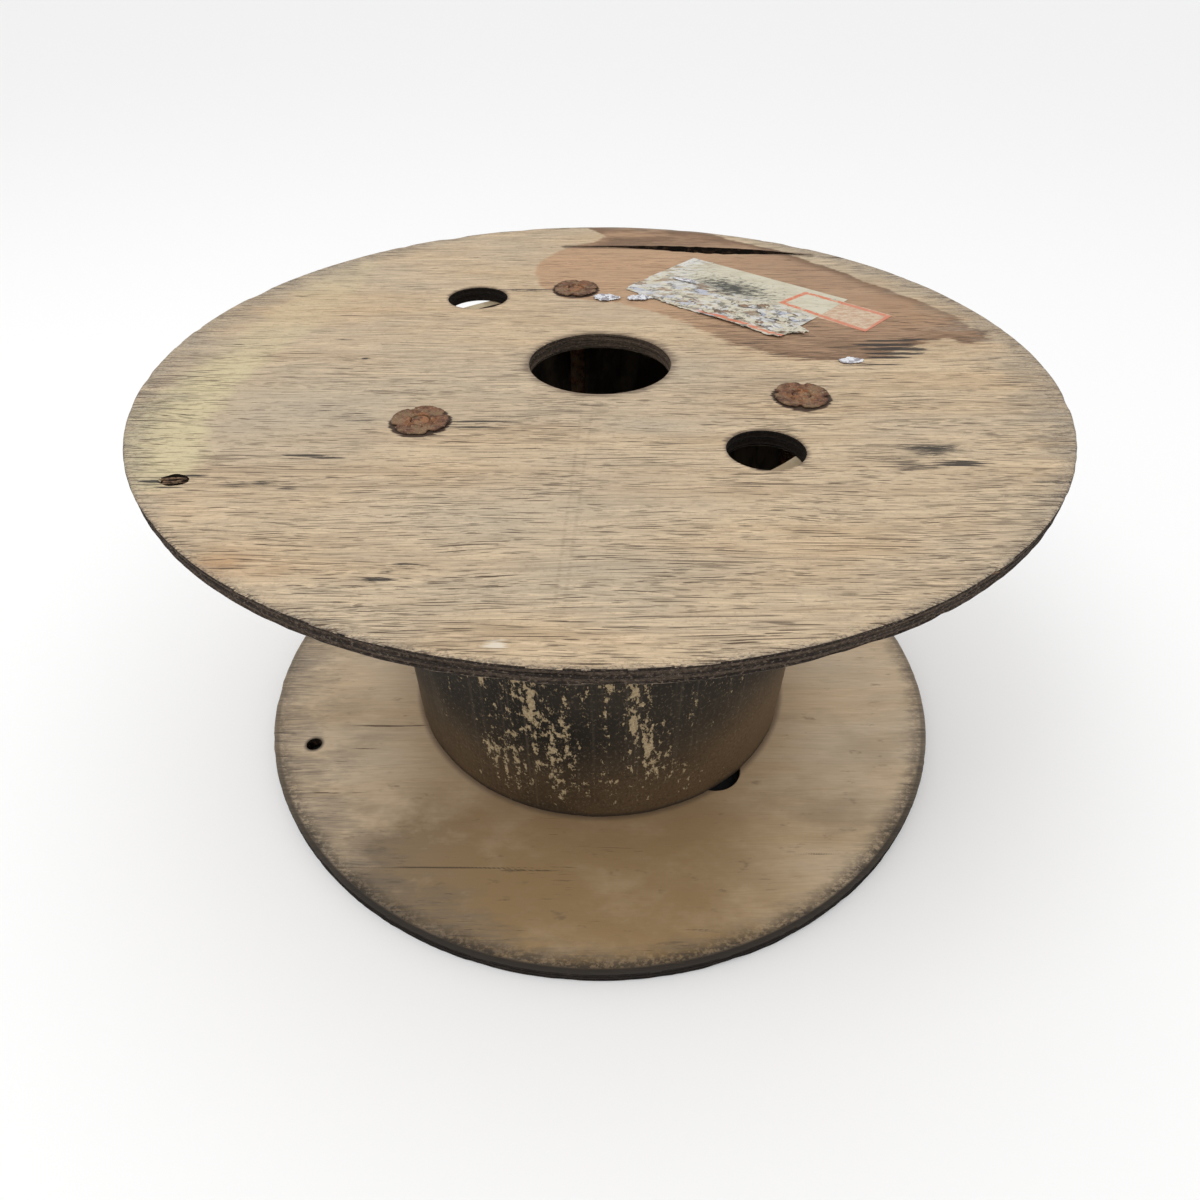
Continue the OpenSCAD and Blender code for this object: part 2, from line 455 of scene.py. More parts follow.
# %% [markdown]
# Scuffs and cracks of the upper face: black skid marks beside the label, iron-dark cracks beside the nuts,
# smudges by the knot hole, and hairlines that carry the split on at both ends. They are finer than the disc's
# mesh, so the faces near them are subdivided first. Each point is then painted with how deep in a mark it
# lies. A mark is given as x, y, half its length, half its width, all in millimetres, and its darkness.
# %% Marks on the upper face
UPPER_MARKS = [
    (172, 29, 13, 1.0, 1.3), (168, 23, 15, 1.6, 1.4), (174, 17, 16, 1.7, 1.5), (170, 11, 14, 1.3, 1.4),
    (166, 5.5, 11, 1.0, 1.2), (186, 31, 9, 0.8, 1.0), (158, -4, 12, 0.9, 0.9),
    (-140, -105, 12, 1.0, 1.0), (-130, -107, 9, 0.9, 0.9), (-88, -200, 8, 1.2, 0.75),
    (-79, -190, 7, 1.1, 0.8), (-96, -205, 7, 0.9, 0.6), (-84, -195, 5, 0.8, 0.7), (-166, -131, 9, 4.0, 0.6),
    (-153, -129, 8, 3.2, 0.55), (-141, -134, 5, 2.0, 0.55), (-203, -128, 6, 1.3, 1.1),
    (-187, -123, 6, 1.0, 0.9), (-196, -133, 8, 0.9, 0.9), (-151, 30, 9, 2.4, 0.5), (-117, 25, 9, 1.6, 0.5),
    (-145, 3, 8, 2.4, 0.45), (-134, 4, 2, 1.4, 0.7),
    (160, -99, 14, 6.0, 0.8), (168, -112, 14, 3.0, 0.8), (144, -113, 14, 6.5, 0.62),
    (-50, 113, 22, 1.2, 0.8), (-44, 110, 16, 1.0, 0.7), (-62, -77, 20, 0.9, 0.9), (-60, -71, 22, 0.9, 0.8),
    (-52, -66, 20, 0.8, 0.6), (-120, -70, 12, 0.8, 0.6), (136, -38, 14, 0.8, 0.6), (132, -47, 16, 0.9, 0.5),
    (32, -93, 9, 1.4, 0.6), (204, -24, 17, 2.4, 0.35), (212, -128, 26, 1.2, 0.7), (196, -140, 24, 1.0, 0.7),
    (172, 178, 22, 1.0, 0.7), (-40, 200, 20, 0.8, 0.6), (150, 150, 22, 0.9, 0.45), (33, -222, 5, 1.6, 0.5),
    (90, 25, 20, 0.8, 0.6), (128, 12, 24, 0.9, 0.6), (146, 20, 20, 0.8, 0.6), (104, 10, 18, 0.8, 0.5),
]
print("marks on the upper face:", len(UPPER_MARKS))

# %% Painting marks
MARK_MARGIN = 1.5 * MM
MARK_REACH = 2.0


def refine(piece, chosen, cuts):
    """Subdivides the upward faces that chosen(centre) picks."""
    select_only(piece)
    bpy.ops.object.mode_set(mode="EDIT")
    bpy.ops.mesh.select_mode(type="FACE")
    bpy.ops.mesh.select_all(action="DESELECT")
    bpy.ops.object.mode_set(mode="OBJECT")
    for face in piece.data.polygons:
        face.select = face.normal.z > 0.9 and chosen(face.center)
    bpy.ops.object.mode_set(mode="EDIT")
    bpy.ops.mesh.subdivide(number_cuts=cuts)
    bpy.ops.object.mode_set(mode="OBJECT")


def near_marks(marks):
    """Tells whether a face's centre lies in or close to a mark."""
    def chosen(centre):
        for x, y, half_long, half_wide, _ in marks:
            if abs(centre.x - x * MM) < half_long * MM + MARK_MARGIN:
                if abs(centre.y - y * MM) < half_wide * MM + MARK_MARGIN * 1.6:
                    return True
        return False
    return chosen


def mark_depth(points, marks):
    """A mark's darkness times 2 at its heart, 1 on its outline and 0 at twice its size."""
    deepest = np.zeros(len(points))
    for x, y, half_long, half_wide, darkness in marks:
        oval = np.hypot((points[:, 0] - x) / half_long, (points[:, 1] - y) / half_wide)
        deepest = np.maximum(deepest, darkness * np.clip(MARK_REACH - oval, 0, MARK_REACH))
    return deepest


print("marks can be painted")

# %% [markdown]
# The upper disc: turned, refined where the split will be, worn, lifted, and then cut.
# %% Upper disc
SPLIT_ZONE_X = (-34 * MM, 162 * MM)
SPLIT_ZONE_Y = (170 * MM, 216 * MM)
BOLT_HOLE_R = 6.5 * MM


def near_split(centre):
    """Tells whether a face lies where the split will be."""
    along = SPLIT_ZONE_X[0] < centre.x < SPLIT_ZONE_X[1]
    return along and SPLIT_ZONE_Y[0] < centre.y < SPLIT_ZONE_Y[1]


upper = turned("upper_flange_wood", disc_profile(TOP, TOP - FLANGE_T), SEGMENTS, ring=True)
refine(upper, near_split, 2)
refine(upper, near_marks(UPPER_MARKS), 3)
worn(upper, TOP, TOP - FLANGE_T, seed=1.7)
lifted_lip(upper)
cutters = [hole_cutter(d, DRIVE_R, TOP, TOP - FLANGE_T) for d in DRIVES]
cutters += [plain_cutter(b, BOLT_HOLE_R, TOP + CUT_OVER, TOP - FLANGE_T - CUT_OVER) for b in BOLTS]
cutters.append(outline_solid("cutter", split_outline(), TOP - SPLIT_DEPTH, TOP + CUT_OVER))
cut_away(upper, joined("cutter", cutters))
print("upper disc:", len(upper.data.polygons), "faces")

# %% [markdown]
# A small pit on the left, where a knot has fallen out, is cut on its own with an uneven bowl.
# %% Knot hole
PIT = Vector((-0.19457, -0.12636))
PIT_R = 7.5 * MM
PIT_DEPTH = 2.8 * MM
BOWL_SEGMENTS = 40
BOWL_WOBBLE = 0.22
BOWL_SQUASH = [1.05, 0.78]
pit_profile = [
    (PIT_R * 0.45, TOP - PIT_DEPTH),
    (PIT_R * 0.7, TOP - PIT_DEPTH * 0.75),
    (PIT_R * 0.8, TOP - PIT_DEPTH * 0.4),
    (PIT_R * 0.9, TOP),
    (PIT_R * 0.95, TOP + CUT_OVER),
]
bowl = turned("cutter", pit_profile, BOWL_SEGMENTS, PIT, solid=True)
bowl_points = places(bowl)
spread = bowl_points[:, :2] - np.array(PIT)
wobble = 1 + BOWL_WOBBLE * rough(bowl_points, 5 * MM, 4.4)
bowl_points[:, :2] = np.array(PIT) + spread * wobble[:, None] * BOWL_SQUASH
set_places(bowl, bowl_points)
cut_away(upper, bowl)
print("knot hole at", tuple(round(c, 4) for c in PIT))

# %% [markdown]
# The lower disc is made in the same way. It has the same two drive holes, a small hole near the rim that the
# cable's inner end is passed through, and a shallow recess under each bolt so that its head stays inside.
# %% Lower disc
LOWER_MARKS = [
    (-106, -179, 78, 0.6, 0.8), (-40, -181, 26, 0.8, 0.7), (-158, -58, 30, 0.9, 0.8),
    (-172, -80, 22, 0.8, 0.6), (140, -169, 18, 0.8, 0.6), (-28, -198, 12, 1.6, 0.5), (-60, -202, 9, 1.4, 0.5),
    (-185, -120, 26, 0.9, 0.6), (150, -110, 26, 0.7, 0.4), (60, -222, 20, 0.9, 0.5),
    (-100, 150, 40, 0.9, 0.6), (70, 190, 50, 0.8, 0.6),
]
HEAD_RECESS_R = 12 * MM
HEAD_RECESS = 3.5 * MM
SHANK_HOLE_R = 5.5 * MM
lower = turned("lower_flange_wood", disc_profile(FLANGE_T, 0), SEGMENTS, ring=True)
refine(lower, near_marks(LOWER_MARKS), 3)
worn(lower, FLANGE_T, 0, seed=6.3)
cutters = [hole_cutter(d, DRIVE_R, FLANGE_T, 0) for d in DRIVES]
cutters.append(plain_cutter(CABLE_HOLE, CABLE_R, FLANGE_T + CUT_OVER, -CUT_OVER, CABLE_SEGMENTS))
for bolt in BOLTS:
    shaft = [(SHANK_HOLE_R, HEAD_RECESS), (SHANK_HOLE_R, FLANGE_T + CUT_OVER)]
    seat = [(HEAD_RECESS_R, -CUT_OVER), (HEAD_RECESS_R, HEAD_RECESS)]
    cutters.append(turned("cutter", seat + shaft, DRILL_SEGMENTS, bolt, solid=True))
cut_away(lower, joined("cutter", cutters))
low_points = places(lower)
low_points[:, 2] = np.maximum(low_points[:, 2], 0)
set_places(lower, low_points)
print("lower disc:", len(lower.data.polygons), "faces")

# %% [markdown]
# The barrel is a tube of thick board, pressed and painted dark. It is not quite round, and its skin is dented
# where turns of cable have lain on it. The dents only go inwards, so the tube stays within its radius.
# %% Barrel
BARREL_SEGMENTS = 288
BARREL_RINGS = 54
INNER_RINGS = 12
SKIN = 1 * MM
SLACK_MM = 0.9
SLACK_WIDE = 40 * MM
SCUFF_MM = 0.35
SCUFF_WIDE = 9 * MM
inner_r = BARREL_R - BARREL_WALL
outer_wall = [
    (BARREL_R, barrel_low.z + (barrel_high.z - barrel_low.z) * i / BARREL_RINGS)
    for i in range(BARREL_RINGS + 1)
]
inner_wall = [
    (inner_r, barrel_high.z + (barrel_low.z - barrel_high.z) * i / INNER_RINGS)
    for i in range(INNER_RINGS + 1)
]
edge_top = [(BARREL_R - BARREL_WALL * i / 4, barrel_high.z) for i in (1, 2, 3)]
edge_low = [(inner_r + BARREL_WALL * i / 4, barrel_low.z) for i in (1, 2, 3)]
barrel = turned(
    "barrel_board",
    outer_wall + edge_top + inner_wall + edge_low + [outer_wall[0]],
    BARREL_SEGMENTS,
    ring=True,
)
board = places(barrel)
board_r = np.hypot(board[:, 0], board[:, 1])
outside = board_r > BARREL_R - SKIN
dents = np.abs(rough(board * [1, 1, 0.5], SLACK_WIDE, 2.2)) * SLACK_MM * MM
dents += np.abs(rough(board, SCUFF_WIDE, 7.9)) * SCUFF_MM * MM
shrink = np.where(outside, 1 - dents / board_r, 1)
board[:, 0] *= shrink
board[:, 1] *= shrink
set_places(barrel, board)
print("barrel:", len(barrel.data.polygons), "faces")

# %% [markdown]
# A tee nut is stamped from sheet: a thin round plate with four notches, where the prongs were bent out of
# it, and a ring pressed up round the thread. The plate is turned first, with its profile given in millimetres
# from the bolt's axis and from the disc's top. Then its points are pulled in at the notches and eaten away by
# rust. One helper makes all three, each turned and rusted in its own way.
# %% Tee nut
NUT_R = 15 * MM
NUT_TOP = TOP + 1.5 * MM
NOTCHES = 4
NUT_SEGMENTS = 144
PLATE_FROM = 8 * MM
PLATE_REACH = 7 * MM
NOTCH_HALF = 1.7 * MM
NOTCH_MM = 2.4
LOBE_MM = 0.6
EATEN_MM = 1.0
SCALE_MM = 0.3
NUT_TURNS = (170, 28, -12)
nut_profile_mm = [
    (5.15, -5), (5.15, -2), (5.15, 0.6), (5.35, 1.05), (5.8, 1.4), (6.4, 1.45), (7.0, 1.3),
    (7.6, 0.9), (8.4, 0.8), (9.4, 0.85), (10.8, 1.0), (12.2, 1.15), (13.4, 1.25), (14.3, 1.25),
    (14.8, 1.15), (15.0, 0.9), (15.0, 0.5), (14.8, 0.35), (12.5, 0.2), (9.5, 0.0), (6.45, 0.0),
    (6.4, -2.5), (6.4, -5), (5.15, -5),
]
nut_profile = [(r * MM, TOP + z * MM) for r, z in nut_profile_mm]


def stamped_nut(name, centre, turn, seed):
    """A tee nut with its notches at the given turn."""
    nut = turned(name, nut_profile, NUT_SEGMENTS, centre, ring=True)
    points = places(nut)
    out = points[:, :2] - np.array(centre.xy)
    r = np.hypot(out[:, 0], out[:, 1])
    angle = np.arctan2(out[:, 1], out[:, 0]) - math.radians(turn)
    step = 2 * math.pi / NOTCHES
    off = np.abs((angle + step / 2) % step - step / 2)
    notch = np.clip(1.5 - off * NUT_R / NOTCH_HALF, 0, 1)
    lobes = 0.5 + 0.5 * np.cos(NOTCHES * angle + math.pi)
    outer = np.clip((r - PLATE_FROM) / PLATE_REACH, 0, 1)
    eaten = np.abs(rough(points, 4 * MM, seed)) * EATEN_MM * MM
    pull = outer * (notch * NOTCH_MM * MM + (1 - lobes) * LOBE_MM * MM + eaten)
    points[:, :2] = np.array(centre.xy) + out * ((r - pull) / r)[:, None]
    upper_side = points[:, 2] > TOP + 0.6 * MM
    scale = np.abs(rough(points, 1.8 * MM, seed + 3)) * SCALE_MM * MM
    points[:, 2] -= np.where(upper_side, scale, 0)
    points[:, 2] = np.minimum(points[:, 2], NUT_TOP)
    set_places(nut, points)
    return nut


nuts = [
    stamped_nut(f"tee_nut_plate_{i + 1}", bolt, turn, seed=1.3 + 4 * i)
    for i, (bolt, turn) in enumerate(zip(BOLTS, NUT_TURNS))
]
print("tee nuts:", len(nuts), "of", len(nuts[0].data.polygons), "faces")

# %% [markdown]
# Each tie bolt is a coach bolt: a low domed head in the lower disc's recess, a plain shank through the hollow
# of the barrel, and a thread at the top that the nut has drawn up. The thread is turned as fine rings, and
# its rough rusty end shows in the middle of the nut.
# %% Tie bolt
BOLT_R = 5 * MM
HEAD_LOW = 0.5 * MM
BOLT_TIP = TOP + 1 * MM
THREAD_FROM = TOP - 32 * MM
THREAD_PITCH = 1.5 * MM
THREAD_DEPTH = 0.75 * MM
TIP_REACH = 0.6 * MM
BOLT_SEGMENTS = 40
bolt_profile = [(2 * MM, HEAD_LOW), (6 * MM, HEAD_LOW + 0.25 * MM), (9 * MM, HEAD_LOW + 1.0 * MM)]
bolt_profile += [(10.6 * MM, HEAD_LOW + 2.0 * MM), (11 * MM, HEAD_LOW + 2.6 * MM)]
bolt_profile += [(10.8 * MM, HEAD_LOW + 3 * MM), (BOLT_R, HEAD_LOW + 3 * MM), (BOLT_R, THREAD_FROM)]
turns = int((BOLT_TIP - 1.2 * MM - THREAD_FROM) / THREAD_PITCH)
for k in range(turns):
    foot = THREAD_FROM + k * THREAD_PITCH
    bolt_profile.append((BOLT_R - THREAD_DEPTH, foot + THREAD_PITCH * 0.45))
    bolt_profile.append((BOLT_R, foot + THREAD_PITCH * 0.95))
bolt_profile += [(BOLT_R - 0.5 * MM, BOLT_TIP - 0.35 * MM), (BOLT_R - 1.3 * MM, BOLT_TIP)]
bolt_profile += [(2.2 * MM, BOLT_TIP - 0.15 * MM), (0.8 * MM, BOLT_TIP - 0.35 * MM)]


def coach_bolt(name, centre, seed):
    """A tie bolt with a corroded tip."""
    bolt = turned(name, bolt_profile, BOLT_SEGMENTS, centre, solid=True)
    points = places(bolt)
    tip = points[:, 2] > BOLT_TIP - TIP_REACH
    points[:, 2] -= np.where(tip, np.abs(rough(points, 2.2 * MM, seed)) * 0.5 * MM, 0)
    set_places(bolt, points)
    return bolt


rods = [coach_bolt(f"coach_bolt_{i + 1}", b, 2.0 + i) for i, b in enumerate(BOLTS)]
print("bolts:", len(rods), "with", turns, "turns of thread")

# %% [markdown]
# The label is thin card that was glued on, then soaked, scuffed and half scraped off. A fine grid is laid at
# its place and turned with it. Points outside its torn outline are deleted, the rest is wrinkled by moving
# points, and a Solidify modifier gives it its thickness. Loose shreds of the same card are made by the same
# helper with smaller grids and deeper crumples. Two small helpers come first: one tells how far a point lies
# inside an outline, the other keeps a number on each point for a finish to read.
# %% Distance from an outline
def signed_distance(points, outline):
    """How far each (x, y) lies inside an outline, negative outside it, in the outline's unit."""
    points = np.asarray(points)[:, :2]
    corners = np.asarray(outline, float)
    ends = np.roll(corners, -1, axis=0)
    nearest = np.full(len(points), np.inf)
    inside = np.zeros(len(points), bool)
    for a, b in zip(corners, ends):
        side = b - a
        along = np.clip(((points - a) @ side) / (side @ side), 0, 1)
        gap = np.linalg.norm(points - a - along[:, None] * side, axis=1)
        nearest = np.minimum(nearest, gap)
        crosses = (a[1] > points[:, 1]) != (b[1] > points[:, 1])
        if b[1] != a[1]:
            meet = (b[0] - a[0]) * (points[:, 1] - a[1]) / (b[1] - a[1]) + a[0]
            inside ^= crosses & (points[:, 0] < meet)
    return np.where(inside, nearest, -nearest)


print("distances can be measured")

# %% Numbers on points
def paint(piece, name, values):
    """Keeps one number per point, for a finish to read."""
    layer = piece.data.attributes.get(name) or piece.data.attributes.new(name, "FLOAT", "POINT")
    layer.data.foreach_set("value", np.ascontiguousarray(values, dtype=np.float32))


print("numbers can be painted")

# %% Torn sheets
LABEL_TURN = math.radians(-41)
LABEL_LONG = 126 * MM
LABEL_WIDE = 86 * MM
label_low, label_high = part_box("label")
LABEL_MIDDLE = (label_low + label_high) / 2
PAPER = 0.22 * MM
HIGHEST_WRINKLE = 1.15 * MM
TEAR_LUMP = 9 * MM
TEAR_FINE = 3.2 * MM
CURL_REACH = 3 * MM


def torn_sheet(name, middle_at, turn, long, wide, step, fray, crumple, lump, seed, floor_z, keep=None):
    """A wrinkled scrap lying on the disc. Fray is how deep its edge is torn, crumple how high it stands."""
    bpy.ops.object.select_all(action="DESELECT")
    columns = max(4, round(long / step))
    rows = max(4, round(wide / step))
    bpy.ops.mesh.primitive_grid_add(x_subdivisions=columns, y_subdivisions=rows, size=1)
    piece = bpy.context.active_object
    piece.name = name
    flat = places(piece)[:, :2] * [long, wide]
    edge = np.minimum(long / 2 - np.abs(flat[:, 0]), wide / 2 - np.abs(flat[:, 1]))
    local = np.column_stack([flat, np.zeros(len(flat))])
    ragged = (rough(local, TEAR_LUMP, seed) + 0.6 * rough(local, TEAR_FINE, seed + 1)) * 0.5 + 0.5
    gone = edge < fray(flat) * ragged
    if keep is not None:
        gone |= ~keep(flat, ragged)
    height = crumple(flat) * (0.35 + 0.65 * np.abs(rough(local, lump, seed + 2)) * 2.2)
    height += crumple(flat) * np.abs(rough(local, lump * 0.35, seed + 4)) * 0.6
    curl = np.clip(1 - edge / CURL_REACH, 0, 1) * crumple(flat) * 0.25
    turned_x = middle_at[0] + flat[:, 0] * math.cos(turn) - flat[:, 1] * math.sin(turn)
    turned_y = middle_at[1] + flat[:, 0] * math.sin(turn) + flat[:, 1] * math.cos(turn)
    z = floor_z + np.clip(height + curl, 0, HIGHEST_WRINKLE)
    set_places(piece, np.column_stack([turned_x, turned_y, z]))
    paint(piece, "along", flat[:, 0] / MM)
    paint(piece, "across", flat[:, 1] / MM)
    paint(piece, "crumple", height / MM)
    bpy.ops.object.mode_set(mode="EDIT")
    bpy.ops.mesh.select_mode(type="VERT")
    bpy.ops.mesh.select_all(action="DESELECT")
    bpy.ops.object.mode_set(mode="OBJECT")
    piece.data.vertices.foreach_set("select", gone)
    bpy.ops.object.mode_set(mode="EDIT")
    bpy.ops.mesh.delete(type="VERT")
    bpy.ops.mesh.select_all(action="SELECT")
    bpy.ops.mesh.delete_loose()
    bpy.ops.object.mode_set(mode="OBJECT")
    thick = piece.modifiers.new("card", "SOLIDIFY")
    thick.thickness = PAPER
    thick.offset = -1
    bpy.ops.object.modifier_apply(modifier="card")
    return piece


print("label middle", tuple(round(c, 4) for c in LABEL_MIDDLE))

# %% [markdown]
# Along the label's long axis the left end is thin and scuffed, and its near edge is torn away in the middle,
# where the card has turned to pulp.
# %% Label
CARD_LIES = TOP + PAPER + 0.02 * MM


def label_fray(flat):
    """The far edge is nearly whole, and the near edge and the left end are torn."""
    near = np.clip(-flat[:, 1] / (LABEL_WIDE / 2), 0, 1)
    left = np.clip(-flat[:, 0] / (LABEL_LONG / 2), 0, 1)
    return (0.3 + 2.2 * near + 4.0 * left * near) * MM


def label_crumple(flat):
    """The card is puffed up towards the near edge."""
    near = np.clip(0.1 - flat[:, 1] / (LABEL_WIDE / 2), 0, 1)
    right = np.clip(0.5 + flat[:, 0] / LABEL_LONG, 0, 1)
    return (0.04 + 0.3 * near + 0.75 * near * right) * MM


label = torn_sheet(
    "label_paper", LABEL_MIDDLE, LABEL_TURN, LABEL_LONG, LABEL_WIDE, 1.1 * MM,
    label_fray, label_crumple, 11 * MM, 5.5, CARD_LIES,
)
print("label:", len(label.data.polygons), "faces")

# %% [markdown]
# Beside the label lies what came off it: a strip of thin tape with the rest of a red frame, five wads of pulp
# along the near edge, and four scraps of foil. All come from the same helper. Wads and scraps are cut round,
# and each is given by its middle, its turn in degrees, its length and width, and how high it crumples.
# %% Scraps round the label
def even(depth):
    """The same depth everywhere on a scrap."""
    return lambda flat: np.full(len(flat), depth)


def round_cut(long, wide):
    """Keeps a ragged oval out of a grid."""
    def keep(flat, ragged):
        reach = np.hypot(flat[:, 0] / (long / 2), flat[:, 1] / (wide / 2))
        return reach < 0.62 + 0.42 * ragged
    return keep


def scrap(name, x, y, turn, long, wide, crumple, lump, seed, step=0.8, lies=CARD_LIES):
    """A small round-cut scrap at (x, y) in millimetres."""
    return torn_sheet(
        name, (x * MM, y * MM), math.radians(turn), long * MM, wide * MM, step * MM,
        even(0.8 * MM), even(crumple * MM), lump * MM, seed, lies, round_cut(long * MM, wide * MM),
    )


TAPE_MIDDLE = (0.1555, 0.0695)
TAPE_TURN = math.radians(-42)
TAPE_LONG = 46 * MM
TAPE_WIDE = 36 * MM
TAPE_LIES = TOP + 0.12 * MM
tape = torn_sheet(
    "tape_scrap", TAPE_MIDDLE, TAPE_TURN, TAPE_LONG, TAPE_WIDE, 1.0 * MM,
    even(1.2 * MM), even(0.06 * MM), 9 * MM, 9.1, TAPE_LIES,
)
wads = [
    scrap("pulp_wad_1", 110, 47, -30, 40, 20, 1.0, 7.0, 2.1),
    scrap("pulp_wad_2", 78, 72, -44, 44, 22, 0.9, 6.0, 6.6),
    scrap("pulp_wad_3", 112, 66, -30, 34, 20, 0.9, 6.5, 8.3),
    scrap("pulp_wad_4", 50, 90, -30, 34, 18, 0.7, 5.0, 3.9),
    scrap("pulp_wad_5", 96, 84, -10, 30, 15, 0.7, 5.0, 5.2),
]
foils = [
    scrap("foil_scrap_1", 4, 96, -8, 22, 14, 1.0, 2.6, 1.4, 0.6),
    scrap("foil_scrap_2", 26, 96, 10, 20, 11, 0.9, 2.4, 4.8, 0.6),
    scrap("foil_scrap_3", 143, 0, 5, 17, 10, 0.6, 2.8, 7.2, 0.6),
    scrap("foil_scrap_4", 58, 128, -35, 22, 7, 0.4, 3.0, 9.7, 0.7, CARD_LIES + 0.5 * MM),
]
print("scraps:", len(wads) + len(foils) + 1)

# %% [markdown]
# Splinters still cross the knot hole, and two slivers stand off the rim at the right front. One helper makes
# them all: a cone is laid flat, subdivided, flattened and bowed, and its points are moved to its place. The
# slivers of one place are joined into one piece.
# %% Splinters
def splinter(name, x, y, z, turn, long, wide, bow):
    """A sliver of wood with its middle at (x, y, z) in millimetres, pointing along turn."""
    bpy.ops.object.select_all(action="DESELECT")
    bpy.ops.mesh.primitive_cone_add(
        vertices=7, radius1=1, radius2=0.25, depth=2, rotation=(0, math.pi / 2, 0)
    )
    piece = bpy.context.active_object
    piece.name = name
    bpy.ops.object.transform_apply(location=True, rotation=True, scale=True)
    bpy.ops.object.mode_set(mode="EDIT")
    bpy.ops.mesh.select_all(action="SELECT")
    bpy.ops.mesh.subdivide(number_cuts=3)
    bpy.ops.object.mode_set(mode="OBJECT")
    points = places(piece)
    bent = points * [long / 2, wide / 2, wide * 0.22]
    bent[:, 2] += bow * (1 - points[:, 0] ** 2)
    bent += rough(points, 0.5, x)[:, None] * wide * 0.12
    spin = math.radians(turn)
    world_x = x + bent[:, 0] * math.cos(spin) - bent[:, 1] * math.sin(spin)
    world_y = y + bent[:, 0] * math.sin(spin) + bent[:, 1] * math.cos(spin)
    set_places(piece, np.column_stack([world_x, world_y, z + bent[:, 2]]) * MM)
    return piece


TOP_MM = TOP / MM
pit_slivers = [
    splinter("s", -196, -124.5, TOP_MM - 0.9, 8, 12, 1.9, 0.4),
    splinter("s", -193, -127, TOP_MM - 1.2, -6, 13, 1.5, 0.3),
    splinter("s", -197, -129, TOP_MM - 1.0, 14, 10, 1.6, 0.4),
    splinter("s", -191, -124, TOP_MM - 1.5, 30, 9, 1.3, 0.2),
    splinter("s", -199, -126.5, TOP_MM - 1.6, 70, 6, 1.4, 0.2),
]
rim_slivers = [
    splinter("s", 152, -196.5, TOP_MM - 1.2, 24, 15, 2.2, 0.3),
    splinter("s", 159, -190.8, TOP_MM - 1.6, 31, 11, 1.6, 0.4),
]
pit_splinters = joined("pit_splinters", pit_slivers)
rim_splinters = joined("rim_splinters", rim_slivers)
print("splinters:", len(pit_slivers) + len(rim_slivers))

